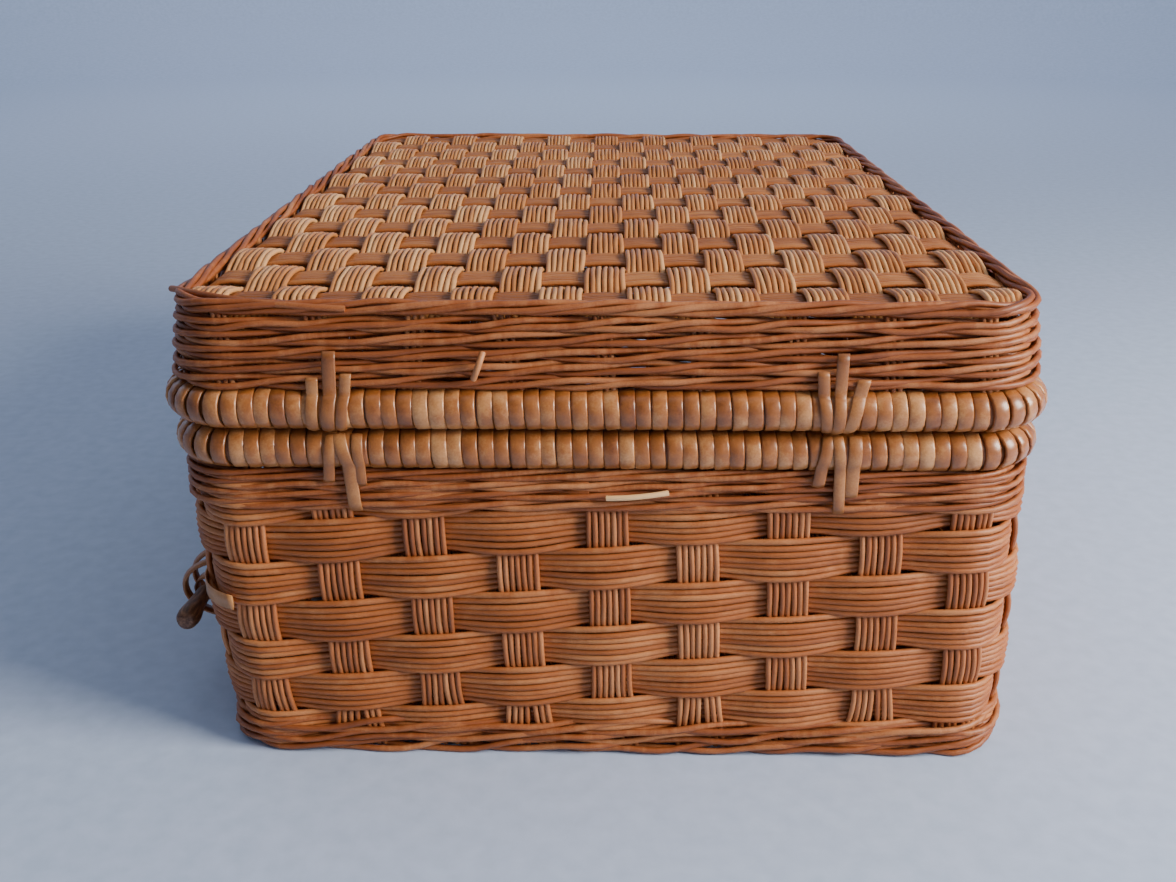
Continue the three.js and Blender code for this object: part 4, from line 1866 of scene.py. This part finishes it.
@dataclass
class Handle:
    """Bail handle on the front: bent rod in two cane eyes, its grip wound with cane."""

    pivot_x: float = 171.6
    pivot_z: float = 99.4
    drop: float = 34.0
    rod: float = 3.8
    grip: float = 6.2
    grip_length: float = 76.0
    eye_y: float = 57.0
    eye_width: float = 5.0
    eye_reach: float = 16.0
    eye_height: float = 17.0
    turn_width: float = 3.6

    @staticmethod
    def _bend(start: Array, corner: Array, end: Array) -> Array:
        """Round a corner between two points.

        Args:
            start: first point.
            corner: the corner that the bend cuts.
            end: last point.

        Returns:
            The points of the bend.
        """
        u = np.linspace(0, 1, 9)[:, None]
        return (1 - u) ** 2 * start + 2 * u * (1 - u) * corner + u**2 * end

    def rod_line(self) -> Array:
        """Centre line of the bent rod."""
        stub = self.eye_y + self.eye_width
        leg = self.eye_y - self.eye_width - self.rod
        soft, bend, low = 6.0, 12.0, -self.drop
        marks = [(-stub, 0), (-leg - soft, 0), (-leg, 0), (-leg, -soft), (-leg, low + bend)]
        marks += [(-leg, low), (-leg + bend, low)]
        half = [np.array(m, dtype=float) for m in marks]
        parts = [half[0][None], self._bend(*half[1:4]), self._bend(*half[4:7])]
        left = np.vstack(parts)
        flat = np.vstack([left, (left * [-1, 1])[::-1]])
        x = np.full(len(flat), -self.pivot_x)
        return np.column_stack([x, flat[:, 0], flat[:, 1] + self.pivot_z])

    def build(self, shop: Workshop, base: Base, rng: np.random.Generator) -> None:
        """Make the rod, the winding on its grip and the two eyes.

        Args:
            shop: the workshop.
            base: the base.
            rng: seeded source of randomness.
        """
        lines = Strands()
        lines.add(self.rod_line(), 0.45)
        rod = shop.round("handle_rod", lines, self.rod, Finish.POLE, 14)
        shop.seat(rod, "handle", ["handle_core"], "rattan_pole")
        count = int(self.grip_length / self.turn_width)
        y = (np.arange(count) - (count - 1) / 2) * self.turn_width
        low = self.pivot_z - self.drop
        places = np.column_stack([np.full(count, -self.pivot_x), y, np.full(count, low)])
        along = np.tile([0.0, 1.0, 0.06], (count, 1))
        outward = np.tile([-1.0, 0.0, 0.0], (count, 1))
        tones = np.clip(rng.normal(0.5, 0.15, count), 0.1, 0.9)
        path = TurnPath(places, along, outward, tones, rng.uniform(0.98, 1.0, count))
        turn = CaneTurn(self.grip, self.rod + 0.2, self.turn_width * 0.98, 16)
        wound = shop.wound("handle_winding", path, turn.mesh("turn"), Finish.WRAP)
        shop.seat(wound, "handle", ["handle_wrap"], "peeled_cane")
        face = PLAN.half_x + float(base.wall.offset(self.pivot_z))
        for number, along_y in enumerate((-self.eye_y, self.eye_y), 1):
            height, reach = self.eye_height, self.eye_reach
            strips = bow(Side.FRONT, along_y, face, self.pivot_z, height, reach, rng)
            eye = shop.flat(f"handle_eye_{number}_cane", strips, Finish.TIE)
            shop.seat(eye, "base", [f"handle_eye_{number}"], "peeled_cane")


# ---------------------------------------------------------------- studio


@dataclass
class Studio:
    """Pale sweep, soft lights and the camera at a short end, a little above the lid."""

    lens: float = 37.19
    camera_place: tuple[float, float, float] = (0.00058, -0.63885, 0.30262)
    tilt: float = 68.38
    pan: float = 0.89

    def camera(self) -> None:
        """Create the camera and make it the scene's."""
        data = bpy.data.cameras.new("camera")
        data.lens = self.lens
        data.sensor_width = 36.0
        data.clip_start, data.clip_end = 0.01, 50.0
        camera = bpy.data.objects.new("camera", data)
        camera.location = self.camera_place
        camera.rotation_euler = (math.radians(self.tilt), 0.0, math.radians(self.pan))
        bpy.context.scene.collection.objects.link(camera)
        bpy.context.scene.camera = camera

    def light(
        self,
        name: str,
        place: tuple[float, float, float],
        size: float,
        power: float,
        colour: str,
        aim: tuple[float, float, float] = (0.0, 0.0, 0.09),
    ) -> None:
        """Add one soft area light.

        Args:
            name: its name.
            place: where it stands, metres.
            size: its side, metres.
            power: watts.
            colour: sRGB hex.
            aim: where it points, metres.
        """
        data = bpy.data.lights.new(name, "AREA")
        data.size = size
        data.energy = power
        data.color = linear(colour)[:3]
        lamp = bpy.data.objects.new(name, data)
        lamp.location = place
        heading = Vector(aim) - Vector(place)
        lamp.rotation_euler = heading.to_track_quat("-Z", "Y").to_euler()
        bpy.context.scene.collection.objects.link(lamp)

    def build(self) -> None:
        """Set up the sweep, the lights, the surround and the camera."""
        mesh = bpy.data.meshes.new("sweep")
        profile = [(0.001, 0.0), (3.0, 0.0), (3.6, 0.12), (4.1, 0.5), (4.4, 1.1), (4.5, 2.6)]
        steps = 48
        places, faces = [], []
        for radius, z in profile:
            for i in range(steps):
                angle = 2 * math.pi * i / steps
                places.append((radius * math.cos(angle), radius * math.sin(angle), z))
        for ring in range(len(profile) - 1):
            for i in range(steps):
                j = (i + 1) % steps
                a, b = ring * steps, (ring + 1) * steps
                faces.append([a + i, b + i, b + j, a + j])
        mesh.from_pydata(places, [], faces)
        mesh.polygons.foreach_set("use_smooth", [True] * len(faces))
        mesh.materials.append(Finishes.of(Finish.BENCH))
        sweep = bpy.data.objects.new("sweep", mesh)
        bpy.context.scene.collection.objects.link(sweep)
        self.light("window", (1.15, -0.6, 0.72), 0.6, 35.5, "#fff6ea")
        self.light("front_fill", (0.9, -1.6, 0.9), 1.4, 3.0, "#eef3ff")
        self.light("side_fill", (-1.7, 0.9, 1.0), 1.2, 2.0, "#eef3ff")
        self.light("ceiling", (0.5, 1.2, 4.5), 7.0, 84.0, "#f2f5fb", (0.5, 1.2, 0.0))
        self.light("backdrop", (0.0, 2.0, 2.2), 2.0, 34.0, "#eef1f6", (0.0, 4.4, 0.6))
        world = bpy.data.worlds.new("surround")
        world.use_nodes = True
        shade = world.node_tree.nodes["Background"]
        shade.inputs["Color"].default_value = linear("#dfe5ee")
        shade.inputs["Strength"].default_value = 0.16
        bpy.context.scene.world = world
        self.camera()


def main() -> None:
    """Build the hamper in order."""
    logging.basicConfig(level=logging.INFO, format="%(name)s: %(message)s")
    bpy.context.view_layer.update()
    rng = np.random.default_rng(SEED)
    shop = Workshop()
    Studio().build()
    base, lid = Base(), Lid()
    base.build(shop, rng)
    lid.build(shop, rng)
    LooseEnds().build(shop)
    Lashings().build(shop, base, lid, rng)
    HingeLoops().build(shop, base, lid, rng)
    Closures().build(shop, base, lid, rng)
    Handle().build(shop, base, rng)


if __name__ == "__main__":
    main()
